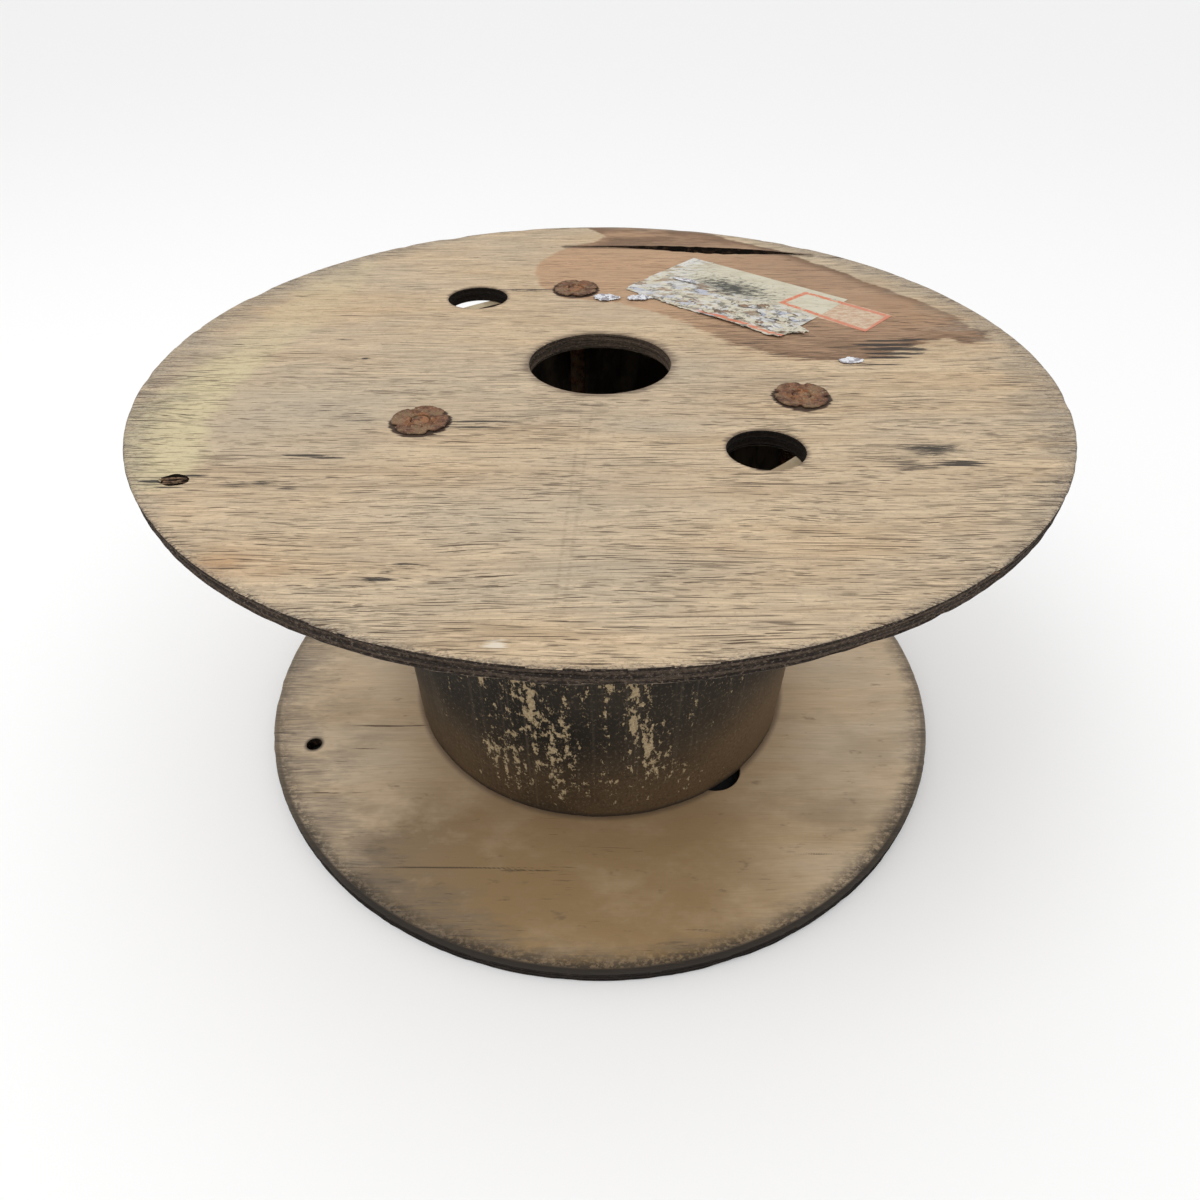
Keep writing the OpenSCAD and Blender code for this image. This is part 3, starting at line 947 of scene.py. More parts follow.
# %% [markdown]
# Finishes are node networks. To keep them readable, a small class holds the material and adds one node per
# call. Every pattern reads Object coordinates, which are metres on the drum itself, or a number painted on
# the points, so it stays on the wood when the camera moves.
# %% Mixing finishes
class Finish:
    """A material being mixed. Each method adds a node and gives back what comes out of it."""

    def __init__(self, name, roughness=0.85, specular=0.2, metallic=0.0):
        self.material = bpy.data.materials.new(name)
        self.material.use_nodes = True
        self.tree = self.material.node_tree
        self.shader = self.tree.nodes["Principled BSDF"]
        self.shader.inputs["Roughness"].default_value = roughness
        self.shader.inputs["Specular IOR Level"].default_value = specular
        self.shader.inputs["Metallic"].default_value = metallic
        self.place = self.tree.nodes.new("ShaderNodeTexCoord").outputs["Object"]
        apart = self.tree.nodes.new("ShaderNodeSeparateXYZ")
        self.tree.links.new(self.place, apart.inputs[0])
        self.x, self.y, self.z = apart.outputs

    def feed(self, socket, value):
        """Links an output to a socket, or sets the socket to a plain value."""
        if isinstance(value, bpy.types.NodeSocket):
            self.tree.links.new(value, socket)
        elif isinstance(value, tuple) and len(value) == 3 and socket.type == "RGBA":
            socket.default_value = (*value, 1)
        else:
            socket.default_value = value

    def math(self, operation, *values):
        """One sum, such as ADD or MULTIPLY."""
        node = self.tree.nodes.new("ShaderNodeMath")
        node.operation = operation
        for socket, value in zip(node.inputs, values):
            self.feed(socket, value)
        return node.outputs[0]

    def product(self, *values):
        """All the values multiplied."""
        total = values[0]
        for value in values[1:]:
            total = self.math("MULTIPLY", total, value)
        return total

    def largest(self, *values):
        """The largest of the values."""
        total = values[0]
        for value in values[1:]:
            total = self.math("MAXIMUM", total, value)
        return total

    def ramp(self, value, low, high, at_low=0.0, at_high=1.0):
        """A smooth step from at_low to at_high while value goes from low to high."""
        node = self.tree.nodes.new("ShaderNodeMapRange")
        node.interpolation_type = "SMOOTHSTEP"
        for socket, number in zip(node.inputs, (value, low, high, at_low, at_high)):
            self.feed(socket, number)
        return node.outputs[0]

    def stretched(self, x, y, z, shift=(0, 0, 0), source=None):
        """The place, scaled along each axis in waves per metre."""
        node = self.tree.nodes.new("ShaderNodeMapping")
        self.feed(node.inputs["Vector"], source or self.place)
        node.inputs["Location"].default_value = shift
        node.inputs["Scale"].default_value = (x, y, z)
        return node.outputs[0]

    def noise(self, vector, detail=3.0, roughness=0.5):
        """Cloudy noise from about 0 to 1."""
        node = self.tree.nodes.new("ShaderNodeTexNoise")
        self.feed(node.inputs["Vector"], vector)
        node.inputs["Scale"].default_value = 1
        node.inputs["Detail"].default_value = detail
        node.inputs["Roughness"].default_value = roughness
        return node.outputs["Fac"]

    def cells(self, vector):
        """Distance to scattered points, one in each unit square, and a random number for each point."""
        node = self.tree.nodes.new("ShaderNodeTexVoronoi")
        node.voronoi_dimensions = "2D"
        self.feed(node.inputs["Vector"], vector)
        node.inputs["Scale"].default_value = 1
        apart = self.tree.nodes.new("ShaderNodeSeparateColor")
        self.tree.links.new(node.outputs["Color"], apart.inputs[0])
        return node.outputs["Distance"], apart.outputs[0]

    def length(self, vector):
        """The length of a vector."""
        node = self.tree.nodes.new("ShaderNodeVectorMath")
        node.operation = "LENGTH"
        self.feed(node.inputs[0], vector)
        return node.outputs["Value"]

    def mix(self, share, first, second):
        """The first colour, giving way to the second as share goes from 0 to 1."""
        node = self.tree.nodes.new("ShaderNodeMix")
        node.data_type = "RGBA"
        self.feed(node.inputs[0], share)
        self.feed(node.inputs[6], first)
        self.feed(node.inputs[7], second)
        return node.outputs[2]

    def number(self, name):
        """A number that was painted on the points."""
        node = self.tree.nodes.new("ShaderNodeAttribute")
        node.attribute_name = name
        return node.outputs["Fac"]

    def around(self, centre, reach_x, reach_y):
        """0 at a centre and 1 on an oval round it, in plan."""
        shift = (-centre[0] / reach_x, -centre[1] / reach_y, 0)
        return self.length(self.stretched(1 / reach_x, 1 / reach_y, 0, shift))

    def finish(self, colour, height=None, depth=0.3 * MM, roughness=None):
        """Wires the colour and, as bump, the height."""
        self.feed(self.shader.inputs["Base Color"], colour)
        if roughness is not None:
            self.feed(self.shader.inputs["Roughness"], roughness)
        if height is not None:
            node = self.tree.nodes.new("ShaderNodeBump")
            node.inputs["Strength"].default_value = 1.0
            node.inputs["Distance"].default_value = depth
            self.feed(node.inputs["Height"], height)
            self.feed(self.shader.inputs["Normal"], node.outputs[0])
        return self.material


print("finish helper ready")

# %% [markdown]
# The face veneer is a tropical hardwood, grey-tan and open-grained. Its grain runs along X. Noise stretched
# along the grain makes its layers: broad bands and patches of tone, streaks, and fine fibres. Short dark
# checks show where the dried surface has cracked. They are scattered cells, squeezed so hard across the grain
# that each becomes a dash.
# %% Grain of the veneer
PALE_WOOD = (0.55, 0.423, 0.28)
WARM_WOOD = (0.49, 0.354, 0.22)
GREY_WOOD = (0.452, 0.372, 0.27)
CHECK_DARK = (0.085, 0.055, 0.036)


def wavy_place(f, seed):
    """The place, with the grain's gentle waves in it."""
    wave = f.noise(f.stretched(9, 26, 26, (seed, 0, 0)), 2)
    shift = f.math("MULTIPLY", f.math("SUBTRACT", wave, 0.5), 0.012)
    slide = f.noise(f.stretched(2, 75, 0, (0, seed, 0)), 3, 0.6)
    joined_up = f.tree.nodes.new("ShaderNodeCombineXYZ")
    f.feed(joined_up.inputs[0], f.math("ADD", f.x, f.math("MULTIPLY", slide, 0.35)))
    f.feed(joined_up.inputs[1], f.math("ADD", f.y, shift))
    f.feed(joined_up.inputs[2], f.z)
    return joined_up.outputs[0]


def veneer(f, seed, pale, warm, grey, strength=1.0):
    """The clean veneer's colour, and its fibre as a height. Strength is how plainly the fibres show."""
    grain = wavy_place(f, seed)
    bands = f.noise(f.stretched(3.2, 46, 30, (seed, 2, 0), grain), 4, 0.6)
    patches = f.noise(f.stretched(6, 11, 9, (0, seed, 3)), 3, 0.55)
    fibre = f.noise(f.stretched(48, 880, 300, (seed, 0, 0), grain), 3, 0.7)
    streaks = f.noise(f.stretched(12, 260, 100, (seed, 5, 0), grain), 4, 0.7)
    colour = f.mix(f.ramp(bands, 0.36, 0.64), warm, pale)
    colour = f.mix(f.ramp(patches, 0.42, 0.66, 0, 0.8), colour, grey)
    darker = tuple(c * 0.5 for c in warm)
    lighter = tuple(min(1, c * 1.3) for c in pale)
    colour = f.mix(f.ramp(streaks, 0.5, 0.7, 0, 0.26 * strength), colour, darker)
    colour = f.mix(f.ramp(streaks, 0.48, 0.3, 0, 0.3 * strength), colour, lighter)
    colour = f.mix(f.ramp(fibre, 0.5, 0.68, 0, 0.6 * strength), colour, darker)
    colour = f.mix(f.ramp(fibre, 0.5, 0.34, 0, 0.7 * strength), colour, lighter)
    return colour, fibre, grain


def checks(f, grain, along, across, reach, amount, seed):
    """Dark dashes along the grain, crisp and uneven. Amount, from 0 to 1, is how many of them are open."""
    gap, chance = f.cells(f.stretched(along, across, 0, (seed, seed * 2.3, 0), grain))
    ragged = f.noise(f.stretched(90, 700, 0, (seed, 1, 0), grain), 2, 0.6)
    gap = f.math("ADD", gap, f.math("MULTIPLY", f.math("SUBTRACT", ragged, 0.5), reach * 0.8))
    dash = f.ramp(gap, reach, reach * 0.55)
    open_ones = f.ramp(f.math("SUBTRACT", amount, chance), -0.02, 0.3, 0, 1)
    return f.product(dash, open_ones)


print("grain ready")

# %% [markdown]
# Age lies over the grain in the same way on both discs. The rim is grey and speckled, where wet and grit have
# worked in along the fibres. Round every hole the wood is darker with dirt, and round every nut with dirt and
# a painted shadow on its near side. Long cracks are drawn one by one, each a thin oval painted on the points,
# and noise breaks up its edge.
# %% Age on the veneer
GRIME = (0.085, 0.072, 0.06)
RIM_GREY = (0.33, 0.285, 0.225)


def long_marks(f, breakup):
    """The painted marks, with their edges broken up."""
    return f.ramp(f.math("SUBTRACT", f.number("mark"), breakup), 0.62, 1.15)


def from_rim(f):
    """Millimetres in from the disc's rim."""
    flat = f.stretched(1000, 1000, 0)
    return f.math("SUBTRACT", FLANGE_R / MM, f.length(flat))


def rim_grime(f, grain, inward, width, strength):
    """The share of grime near the rim, in streaks along the grain. Width is in millimetres."""
    cloud = f.noise(f.stretched(28, 75, 60, (4, 1, 0)), 4, 0.65)
    streak = f.noise(f.stretched(34, 620, 300, (9, 0, 0), grain), 3, 0.7)
    reach = f.math("MULTIPLY", width, f.ramp(cloud, 0.25, 0.75, 0.25, 1.7))
    near = f.math("SUBTRACT", 1.0, f.math("DIVIDE", inward, reach))
    near = f.ramp(near, 0, 1)
    broken = f.ramp(streak, 0.36, 0.66, 0.35, 1.0)
    return f.product(near, broken, strength)


print("age ready")

# %% [markdown]
# The upper face carries the drum's history. A brown oil stain covers its back right, with a darker tide line
# where it dried. A band of old yellow glue runs along the left. Their outlines are given in millimetres, and
# each point of the disc is painted with its distance from them, so that the finish can draw a crisp, ragged
# edge between points.
# %% Outlines of the stains
STAIN = [
    (-10, 252), (6, 224), (-14, 206), (-28, 190), (-42, 172), (-46, 145), (-38, 118), (-22, 98), (12, 88),
    (42, 68), (68, 36), (92, 14), (118, 0), (142, -2), (168, 8), (190, 24), (207, 34), (217, 25), (230, 27),
    (233, 42), (222, 66), (206, 94), (184, 126), (159, 158), (134, 186), (108, 210), (86, 232), (60, 252),
]
GLUE = [
    (-212, -136), (-236, -90), (-240, -55), (-232, -20), (-224, 10), (-214, 50), (-206, 90), (-192, 140),
    (-174, 172), (-159, 189), (-158, 150), (-158, 125), (-166, 75), (-176, 44), (-188, 10), (-196, -30),
    (-196, -62), (-194, -92), (-184, -108), (-188, -122), (-198, -138),
]
FACE_DEPTH_MM = 4
FAR_MM = 60
upper_mm = places(upper) / MM
on_face = upper_mm[:, 2] > (TOP / MM - FACE_DEPTH_MM)
paint(upper, "stain", np.where(on_face, signed_distance(upper_mm, STAIN), -FAR_MM))
paint(upper, "glue", np.where(on_face, signed_distance(upper_mm, GLUE), -FAR_MM))
stations = SPLIT_STATIONS / MM
from_split = np.abs(upper_mm[:, 1] - np.interp(upper_mm[:, 0], stations, SPLIT_LINE / MM))
past_ends = np.maximum(stations[0] - upper_mm[:, 0], upper_mm[:, 0] - stations[-1])
from_split = np.where(on_face, from_split + np.maximum(past_ends, 0), FAR_MM)
paint(upper, "from_split", from_split)
paint(upper, "mark", np.where(on_face, mark_depth(upper_mm, UPPER_MARKS), 0))


def soft_spots(points, spots):
    """The sum of soft ovals, each (x, y, reach in x, reach in y, strength) in millimetres."""
    total = np.zeros(len(points))
    for x, y, long, wide, strength in spots:
        away = ((points[:, 0] - x) / long) ** 2 + ((points[:, 1] - y) / wide) ** 2
        total += strength * np.exp(-away)
    return total


TINT_SPOTS = [(-152, -190, 13, 8, 0.7), (-128, -194, 14, 6, 0.3), (205, 66, 40, 26, 0.3)]
GREY_SPOTS = [
    (26, -76, 30, 10, 0.6), (0, -120, 60, 30, 0.3), (-20, -60, 80, 22, 0.35), (120, -130, 60, 26, 0.25),
    (-60, -160, 70, 25, 0.3), (20, -190, 60, 14, 0.3), (-190, -80, 46, 40, 0.5), (-140, -60, 60, 36, 0.5),
    (-18, -143, 50, 30, 0.25), (44, -12, 34, 30, 0.4), (0, 80, 60, 24, 0.3),
]
paint(upper, "tint", np.where(on_face, soft_spots(upper_mm, TINT_SPOTS), 0))
paint(upper, "greyed", np.where(on_face, soft_spots(upper_mm, GREY_SPOTS), 0))
print("painted", len(upper.data.attributes), "numbers on", len(upper_mm), "points")

# %% [markdown]
# The upper face's finish lays these over the veneer, about in the order in which they happened: greyed wood,
# glue, stain, checks, grime at the rim and round the holes, dirt round the nuts with a painted shadow, and
# last the black marks, two faint saw lines and a pale chip. Every layer is one mix of the colour so far with
# a new one.
# %% Upper face: wood, glue and stain
STAIN_BROWN = (0.36, 0.22, 0.135)
STAIN_LIGHT = (0.49, 0.305, 0.18)
TIDE_DARK = (0.17, 0.095, 0.054)
GLUE_PALE = (0.585, 0.485, 0.3)
GLUE_GREEN = (0.6, 0.52, 0.315)
SILVERED = (0.44, 0.378, 0.29)
STAIN_MIDDLE = (0.41, 0.27, 0.165)
RUST_RUN = (0.42, 0.245, 0.12)

f = Finish("upper_veneer", roughness=0.82, specular=0.22)
colour, fibre, grain = veneer(f, 1.7, PALE_WOOD, WARM_WOOD, GREY_WOOD)
colour = f.mix(f.math("MULTIPLY", f.number("greyed"), 0.8), colour, SILVERED)

ragged = f.noise(f.stretched(30, 60, 60), 4, 0.6)
fine_rag = f.noise(f.stretched(40, 420, 200, (3, 0, 0), grain), 3, 0.6)
glue = f.math("ADD", f.number("glue"), f.math("MULTIPLY", f.math("SUBTRACT", ragged, 0.5), 26))
glue_share = f.ramp(glue, -7, 9, 0, 1)
front_glue = f.ramp(f.y, 0.06, -0.04)
glue_share = f.product(glue_share, f.ramp(front_glue, 0, 1, 0.42, 0.85), f.ramp(fine_rag, 0.25, 0.6, 0.6, 1))
colour = f.mix(glue_share, colour, f.mix(front_glue, GLUE_PALE, GLUE_GREEN))

fray = f.math("MULTIPLY", f.math("SUBTRACT", fine_rag, 0.5), 34)
fray = f.math("MULTIPLY", fray, f.ramp(f.y, 0.11, 0.0, 0.15, 1))
blot = f.math("MULTIPLY", f.math("SUBTRACT", ragged, 0.5), 15)
stain = f.math("ADD", f.math("ADD", f.number("stain"), blot), fray)
stain_share = f.ramp(stain, -1.2, 1.6)
right_side = f.ramp(f.x, 0.02, 0.15)
stain_tone = f.mix(right_side, STAIN_LIGHT, STAIN_BROWN)
stain_cloud = f.noise(f.stretched(14, 34, 20, (2, 7, 1)), 4, 0.6)
stain_tone = f.mix(f.ramp(stain_cloud, 0.42, 0.68, 0, 0.6), stain_tone, STAIN_MIDDLE)
stain_tone = f.mix(f.ramp(fibre, 0.48, 0.66, 0, 0.5), stain_tone, TIDE_DARK)
tide = f.product(f.ramp(stain, 13, 1.5), f.ramp(f.x, 0.06, 0.12), f.ramp(ragged, 0.3, 0.55, 0.6, 1))
far_back = f.ramp(f.y, 0.192, 0.208)
behind = f.product(far_back, f.ramp(stain_cloud, 0.36, 0.56, 0.25, 1), f.ramp(f.x, 0.15, 0.1))
front_brown = f.product(f.ramp(f.y, 0.06, 0.02), f.ramp(fine_rag, 0.4, 0.62, 0, 0.7))
tide = f.largest(tide, behind, front_brown)
stain_tone = f.mix(tide, stain_tone, TIDE_DARK)
colour = f.mix(f.product(stain_share, 0.93), colour, stain_tone)
colour = f.mix(f.product(f.number("tint"), f.ramp(ragged, 0.35, 0.6)), colour, RUST_RUN)
print("wood, glue and stain:", len(f.tree.nodes), "nodes")

# %% Upper face: checks and rim
MOTTLE_BROWN = (0.27, 0.2, 0.14)

front_half = f.ramp(f.y, 0.06, -0.08, 0.4, 1.0)
density_cloud = f.noise(f.stretched(16, 30, 20, (5, 5, 5)), 3, 0.6)
amount = f.product(front_half, f.ramp(density_cloud, 0.3, 0.7, 0.25, 1.0))
amount = f.math("ADD", amount, f.product(stain_share, f.ramp(f.y, 0.1, 0.03), 0.6))
inward = from_rim(f)
rim_width = f.ramp(f.math("ABSOLUTE", f.x), 0.06, 0.24, 9, 44)
rim_width = f.math("MULTIPLY", rim_width, f.ramp(f.y, -0.17, 0.0, 0.35, 1))
grime = rim_grime(f, grain, inward, rim_width, f.ramp(f.y, -0.2, -0.08, 0.5, 0.95))
amount = f.math("ADD", amount, f.math("MULTIPLY", grime, 0.6))
long_checks = checks(f, grain, 15, 560, 0.15, f.math("MULTIPLY", amount, 0.95), 1.0)
mid_checks = checks(f, grain, 28, 640, 0.19, f.math("MULTIPLY", amount, 0.95), 3.7)
pores = checks(f, grain, 70, 1100, 0.26, f.math("ADD", f.math("MULTIPLY", amount, 0.7), 0.15), 8.1)
colour = f.mix(f.math("MULTIPLY", grime, 0.85), colour, RIM_GREY)
speckle = f.noise(f.stretched(620, 1300, 900), 3, 0.7)
grit_reach = f.ramp(rim_width, 9, 44, 8, 30)
grit = f.product(f.ramp(f.math("DIVIDE", inward, grit_reach), 1, 0), f.ramp(speckle, 0.5, 0.64))
colour = f.mix(f.math("MULTIPLY", grit, 0.62), colour, GRIME)
colour = f.mix(f.product(f.ramp(inward, 2.0, 0.2), f.ramp(speckle, 0.4, 0.58, 0.1, 0.7)), colour, GRIME)
cracks = f.largest(f.product(long_checks, 0.95), f.product(mid_checks, 0.9), f.product(pores, 0.6))
mottle = f.noise(f.stretched(420, 700, 300, (1, 1, 5)), 2, 0.7)
colour = f.mix(f.ramp(mottle, 0.5, 0.7, 0, 0.34), colour, MOTTLE_BROWN)
colour = f.mix(cracks, colour, CHECK_DARK)
print("with checks and rim:", len(f.tree.nodes), "nodes")

# %% Upper face: dirt and painted shadow round the nuts, dirt round the holes
FAR_AWAY = 9.0
NUT_GRIME_SHADOW_R = 15.2 * MM
NUT_SHADOW_FORWARD = 1.2 * MM
NUT_GRIME_AND_SHADOW = (0.04, 0.022, 0.015)
HOLE_DIRT = (0.12, 0.085, 0.06)

nut_edge = FAR_AWAY
for bolt in BOLTS:
    ring = f.around((bolt.x, bolt.y - NUT_SHADOW_FORWARD), NUT_GRIME_SHADOW_R, NUT_GRIME_SHADOW_R)
    nut_edge = ring if nut_edge == FAR_AWAY else f.math("MINIMUM", nut_edge, ring)
hole_edge = f.around((0, 0), BORE_R, BORE_R)
for drive in DRIVES:
    hole_edge = f.math("MINIMUM", hole_edge, f.around(drive.xy, DRIVE_R, DRIVE_R))
rag_small = f.math("MULTIPLY", f.math("SUBTRACT", fine_rag, 0.5), 0.8)
# Round each nut: dirt, and a painted shadow, its ring moved towards the near side where the plate stands
# proud.
nut_grime_and_shadow = f.ramp(f.math("ADD", nut_edge, f.math("MULTIPLY", rag_small, 0.5)), 1.07, 1.0, 0, 0.95)
hole_dirt = f.ramp(f.math("ADD", hole_edge, f.math("MULTIPLY", rag_small, 0.6)), 1.14, 1.0, 0, 0.7)
colour = f.mix(nut_grime_and_shadow, colour, NUT_GRIME_AND_SHADOW)
colour = f.mix(hole_dirt, colour, HOLE_DIRT)
print("with dirt round the holes:", len(f.tree.nodes), "nodes")

# %% Upper face: marks, split and saw lines
MARK_BLACK = (0.03, 0.027, 0.026)
SPLIT_DARK = (0.07, 0.042, 0.028)
CHIP_PALE = (0.7, 0.63, 0.52)
CHIP_AT = (-0.037, -0.2375)
CHIP_REACH = (0.0045, 0.003)
SAW_LINES = [(-0.5, 0.06), (-6.5, 0.05)]  # x in millimetres beside the bore's middle, and lean

scratchy = f.noise(f.stretched(70, 1100, 500, (6, 2, 0), grain), 3, 0.7)
broken = f.math("MULTIPLY", f.math("SUBTRACT", scratchy, 0.47), 3.6)
marks = long_marks(f, broken)
colour = f.mix(f.math("MULTIPLY", marks, 0.92), colour, MARK_BLACK)
split_dark = f.ramp(f.math("ADD", f.number("from_split"), f.math("MULTIPLY", fray, 0.06)), 5.5, 1.0)
split_share = f.product(split_dark, f.ramp(fine_rag, 0.3, 0.62, 0.25, 0.9))
colour = f.mix(split_share, colour, SPLIT_DARK)

saw = 0.0
for offset, lean in SAW_LINES:
    line = f.math("ADD", f.math("MULTIPLY", f.y, -lean), -offset * MM)
    away = f.math("ABSOLUTE", f.math("ADD", f.x, line))
    shade = f.product(f.ramp(away, 1.3 * MM, 0.2 * MM), f.ramp(scratchy, 0.4, 0.66))
    saw = shade if saw == 0.0 else f.math("MAXIMUM", saw, shade)
saw = f.product(saw, f.ramp(f.y, -0.225, -0.21), f.ramp(f.y, -0.04, -0.06), 0.26)
colour = f.mix(saw, colour, CHECK_DARK)
chip = f.ramp(f.math("ADD", f.around(CHIP_AT, *CHIP_REACH), broken), 1.0, 0.5)
colour = f.mix(f.math("MULTIPLY", chip, 0.8), colour, CHIP_PALE)

relief = f.math("ADD", f.math("MULTIPLY", fibre, 0.3), f.math("MULTIPLY", cracks, -1.0))
relief = f.math("SUBTRACT", relief, f.math("MULTIPLY", marks, 0.4))
upper_veneer = f.finish(colour, relief, 0.35 * MM)
print("upper veneer:", len(f.tree.nodes), "nodes")

# %% [markdown]
# The lower disc has been sheltered by the barrel and the cable. Its top is smoother and warmer, with only a
# few long cracks, a soft grey bloom, and a wide black band of grime along its rim. Its front middle is
# painted browner as shade, and a painted shadow darkens it round the foot of the barrel.
# %% Painting the lower face
lower_mm = places(lower) / MM
BLOOM_SPOTS = [
    (-110, -165, 58, 44, 1.6), (-82, -205, 60, 24, 1.3), (-178, -60, 30, 40, 0.5), (10, -215, 60, 12, 0.6),
    (160, -140, 30, 20, 0.4), (-150, 120, 40, 30, 0.7), (120, 170, 50, 30, 0.7),
]
paint(lower, "bloom", soft_spots(lower_mm, BLOOM_SPOTS))
on_top = lower_mm[:, 2] > FLANGE_T / MM - FACE_DEPTH_MM
paint(lower, "mark", np.where(on_top, mark_depth(lower_mm, LOWER_MARKS), 0))
print("painted", len(lower_mm), "points of the lower disc")

# %% Lower face: wood, bloom and grime
LOWER_PALE = (0.66, 0.52, 0.36)
LOWER_WARM = (0.6, 0.45, 0.285)
LOWER_GREY = (0.55, 0.445, 0.325)
HAZE_TAN = (0.36, 0.27, 0.175)
BLOOM_GREY = (0.17, 0.13, 0.088)
FRONT_SHADE_BROWN = (0.29, 0.19, 0.09)
SPOT_BROWN = (0.14, 0.098, 0.062)
LOWER_RIM_GREY = (0.15, 0.125, 0.1)
BAND_BLACK = (0.018, 0.015, 0.013)

f = Finish("lower_veneer", roughness=0.72, specular=0.25)
colour, fibre, grain = veneer(f, 5.2, LOWER_PALE, LOWER_WARM, LOWER_GREY, 0.35)
haze = f.noise(f.stretched(13, 26, 20, (3, 9, 0)), 4, 0.6)
colour = f.mix(f.ramp(haze, 0.48, 0.68, 0, 0.45), colour, HAZE_TAN)
cloud = f.noise(f.stretched(26, 40, 30, (1, 4, 0)), 4, 0.6)
fine_rag = f.noise(f.stretched(40, 420, 200, (3, 0, 0), grain), 3, 0.6)
bloom = f.product(f.number("bloom"), f.ramp(cloud, 0.25, 0.65, 0.25, 1))
bloom = f.math("MINIMUM", bloom, 1.0)
colour = f.mix(f.math("MULTIPLY", bloom, 0.85), colour, BLOOM_GREY)
inward = from_rim(f)
width = f.ramp(f.x, 0.02, -0.2, 20, 62)
# Painted shade: the front middle of the disc is made browner and darker.
front_shade = f.product(f.ramp(f.y, 0.0, -0.16), f.ramp(f.math("ABSOLUTE", f.x), 0.2, 0.05))
colour = f.mix(f.product(front_shade, f.ramp(cloud, 0.2, 0.6, 0.6, 0.95)), colour, FRONT_SHADE_BROWN)
spots = f.noise(f.stretched(60, 150, 90, (8, 3, 0)), 3, 0.6)
colour = f.mix(f.ramp(spots, 0.62, 0.76, 0, 0.5), colour, SPOT_BROWN)
grime = rim_grime(f, grain, inward, width, 1.0)
colour = f.mix(f.math("MULTIPLY", grime, 0.8), colour, LOWER_RIM_GREY)
speckle = f.noise(f.stretched(300, 420, 400), 3, 0.65)
front = f.ramp(f.y, 0.0, -0.2, 0.45, 1)
band = f.product(f.ramp(inward, 17, 1.0), f.ramp(cloud, 0.2, 0.55, 0.5, 1))
band = f.product(band, f.ramp(speckle, 0.38, 0.56, 0.25, 1))
band = f.product(f.math("MAXIMUM", band, f.ramp(inward, 6, 3.0)), front)
colour = f.mix(f.math("MULTIPLY", band, 0.95), colour, BAND_BLACK)
print("lower wood and grime:", len(f.tree.nodes), "nodes")

# %% Lower face: cracks and shade
DISC_SHADOW_AT_BARREL = (0.06, 0.045, 0.032)
DISC_SHADE_AT_BARREL = (0.26, 0.165, 0.09)
CABLE_DARK = (0.05, 0.04, 0.032)
CRACK_BROWN = (0.085, 0.058, 0.038)

few = f.ramp(cloud, 0.4, 0.8, 0.05, 0.4)
few = f.math("ADD", few, f.math("MULTIPLY", grime, 0.5))
cracks = f.largest(
    f.product(checks(f, grain, 20, 480, 0.13, few, 2.0), 0.6),
    f.product(checks(f, grain, 70, 1100, 0.22, few, 6.0), 0.35),
)
colour = f.mix(cracks, colour, CHECK_DARK)
# Painted shadow at the foot of the barrel: dark in the corner, and a browner painted shade further out.
barrel_line = f.around((0, 0), BARREL_R, BARREL_R)
colour = f.mix(f.ramp(barrel_line, 1.035, 1.0, 0, 0.75), colour, DISC_SHADOW_AT_BARREL)
colour = f.mix(f.ramp(barrel_line, 1.3, 1.0, 0, 0.3), colour, DISC_SHADE_AT_BARREL)
hole_edge = f.around(CABLE_HOLE.xy, CABLE_R, CABLE_R)
colour = f.mix(f.ramp(hole_edge, 1.5, 1.0, 0, 0.85), colour, CABLE_DARK)
broken = f.math("MULTIPLY", f.math("SUBTRACT", fine_rag, 0.47), 1.8)
marks = long_marks(f, broken)
colour = f.mix(f.math("MULTIPLY", marks, 0.85), colour, CRACK_BROWN)
relief = f.math("SUBTRACT", f.math("MULTIPLY", fibre, 0.22), f.largest(cracks, marks))
lower_veneer = f.finish(colour, relief, 0.3 * MM)
print("lower veneer:", len(f.tree.nodes), "nodes")

# %% [markdown]
# The sawn plies are nearly black with grime. Plies that show long grain are a little lighter than those that
# show end grain, and thin streaks run along the saw cut. The lowest arris of the upper disc has been rubbed
# back to pale wood. The walls of the drive holes are painted near black, as shade inside the holes.
# %% Ply edge finish
LONG_PLY = (0.085, 0.063, 0.047)
END_PLY = (0.026, 0.019, 0.015)
SAW_PALE = (0.12, 0.092, 0.068)
SAW_DARK = (0.014, 0.011, 0.009)
FIBRE_PALE = (0.21, 0.158, 0.118)
PLY_BLACK = (0.012, 0.009, 0.008)
BORE_TAN = (0.17, 0.125, 0.085)
DRIVE_HOLE_SHADE = (0.008, 0.0065, 0.0055)
RUBBED_PALE = (0.34, 0.27, 0.2)
ARRIS_PALE = (0.3, 0.235, 0.17)
SOOT = (0.012, 0.01, 0.009)


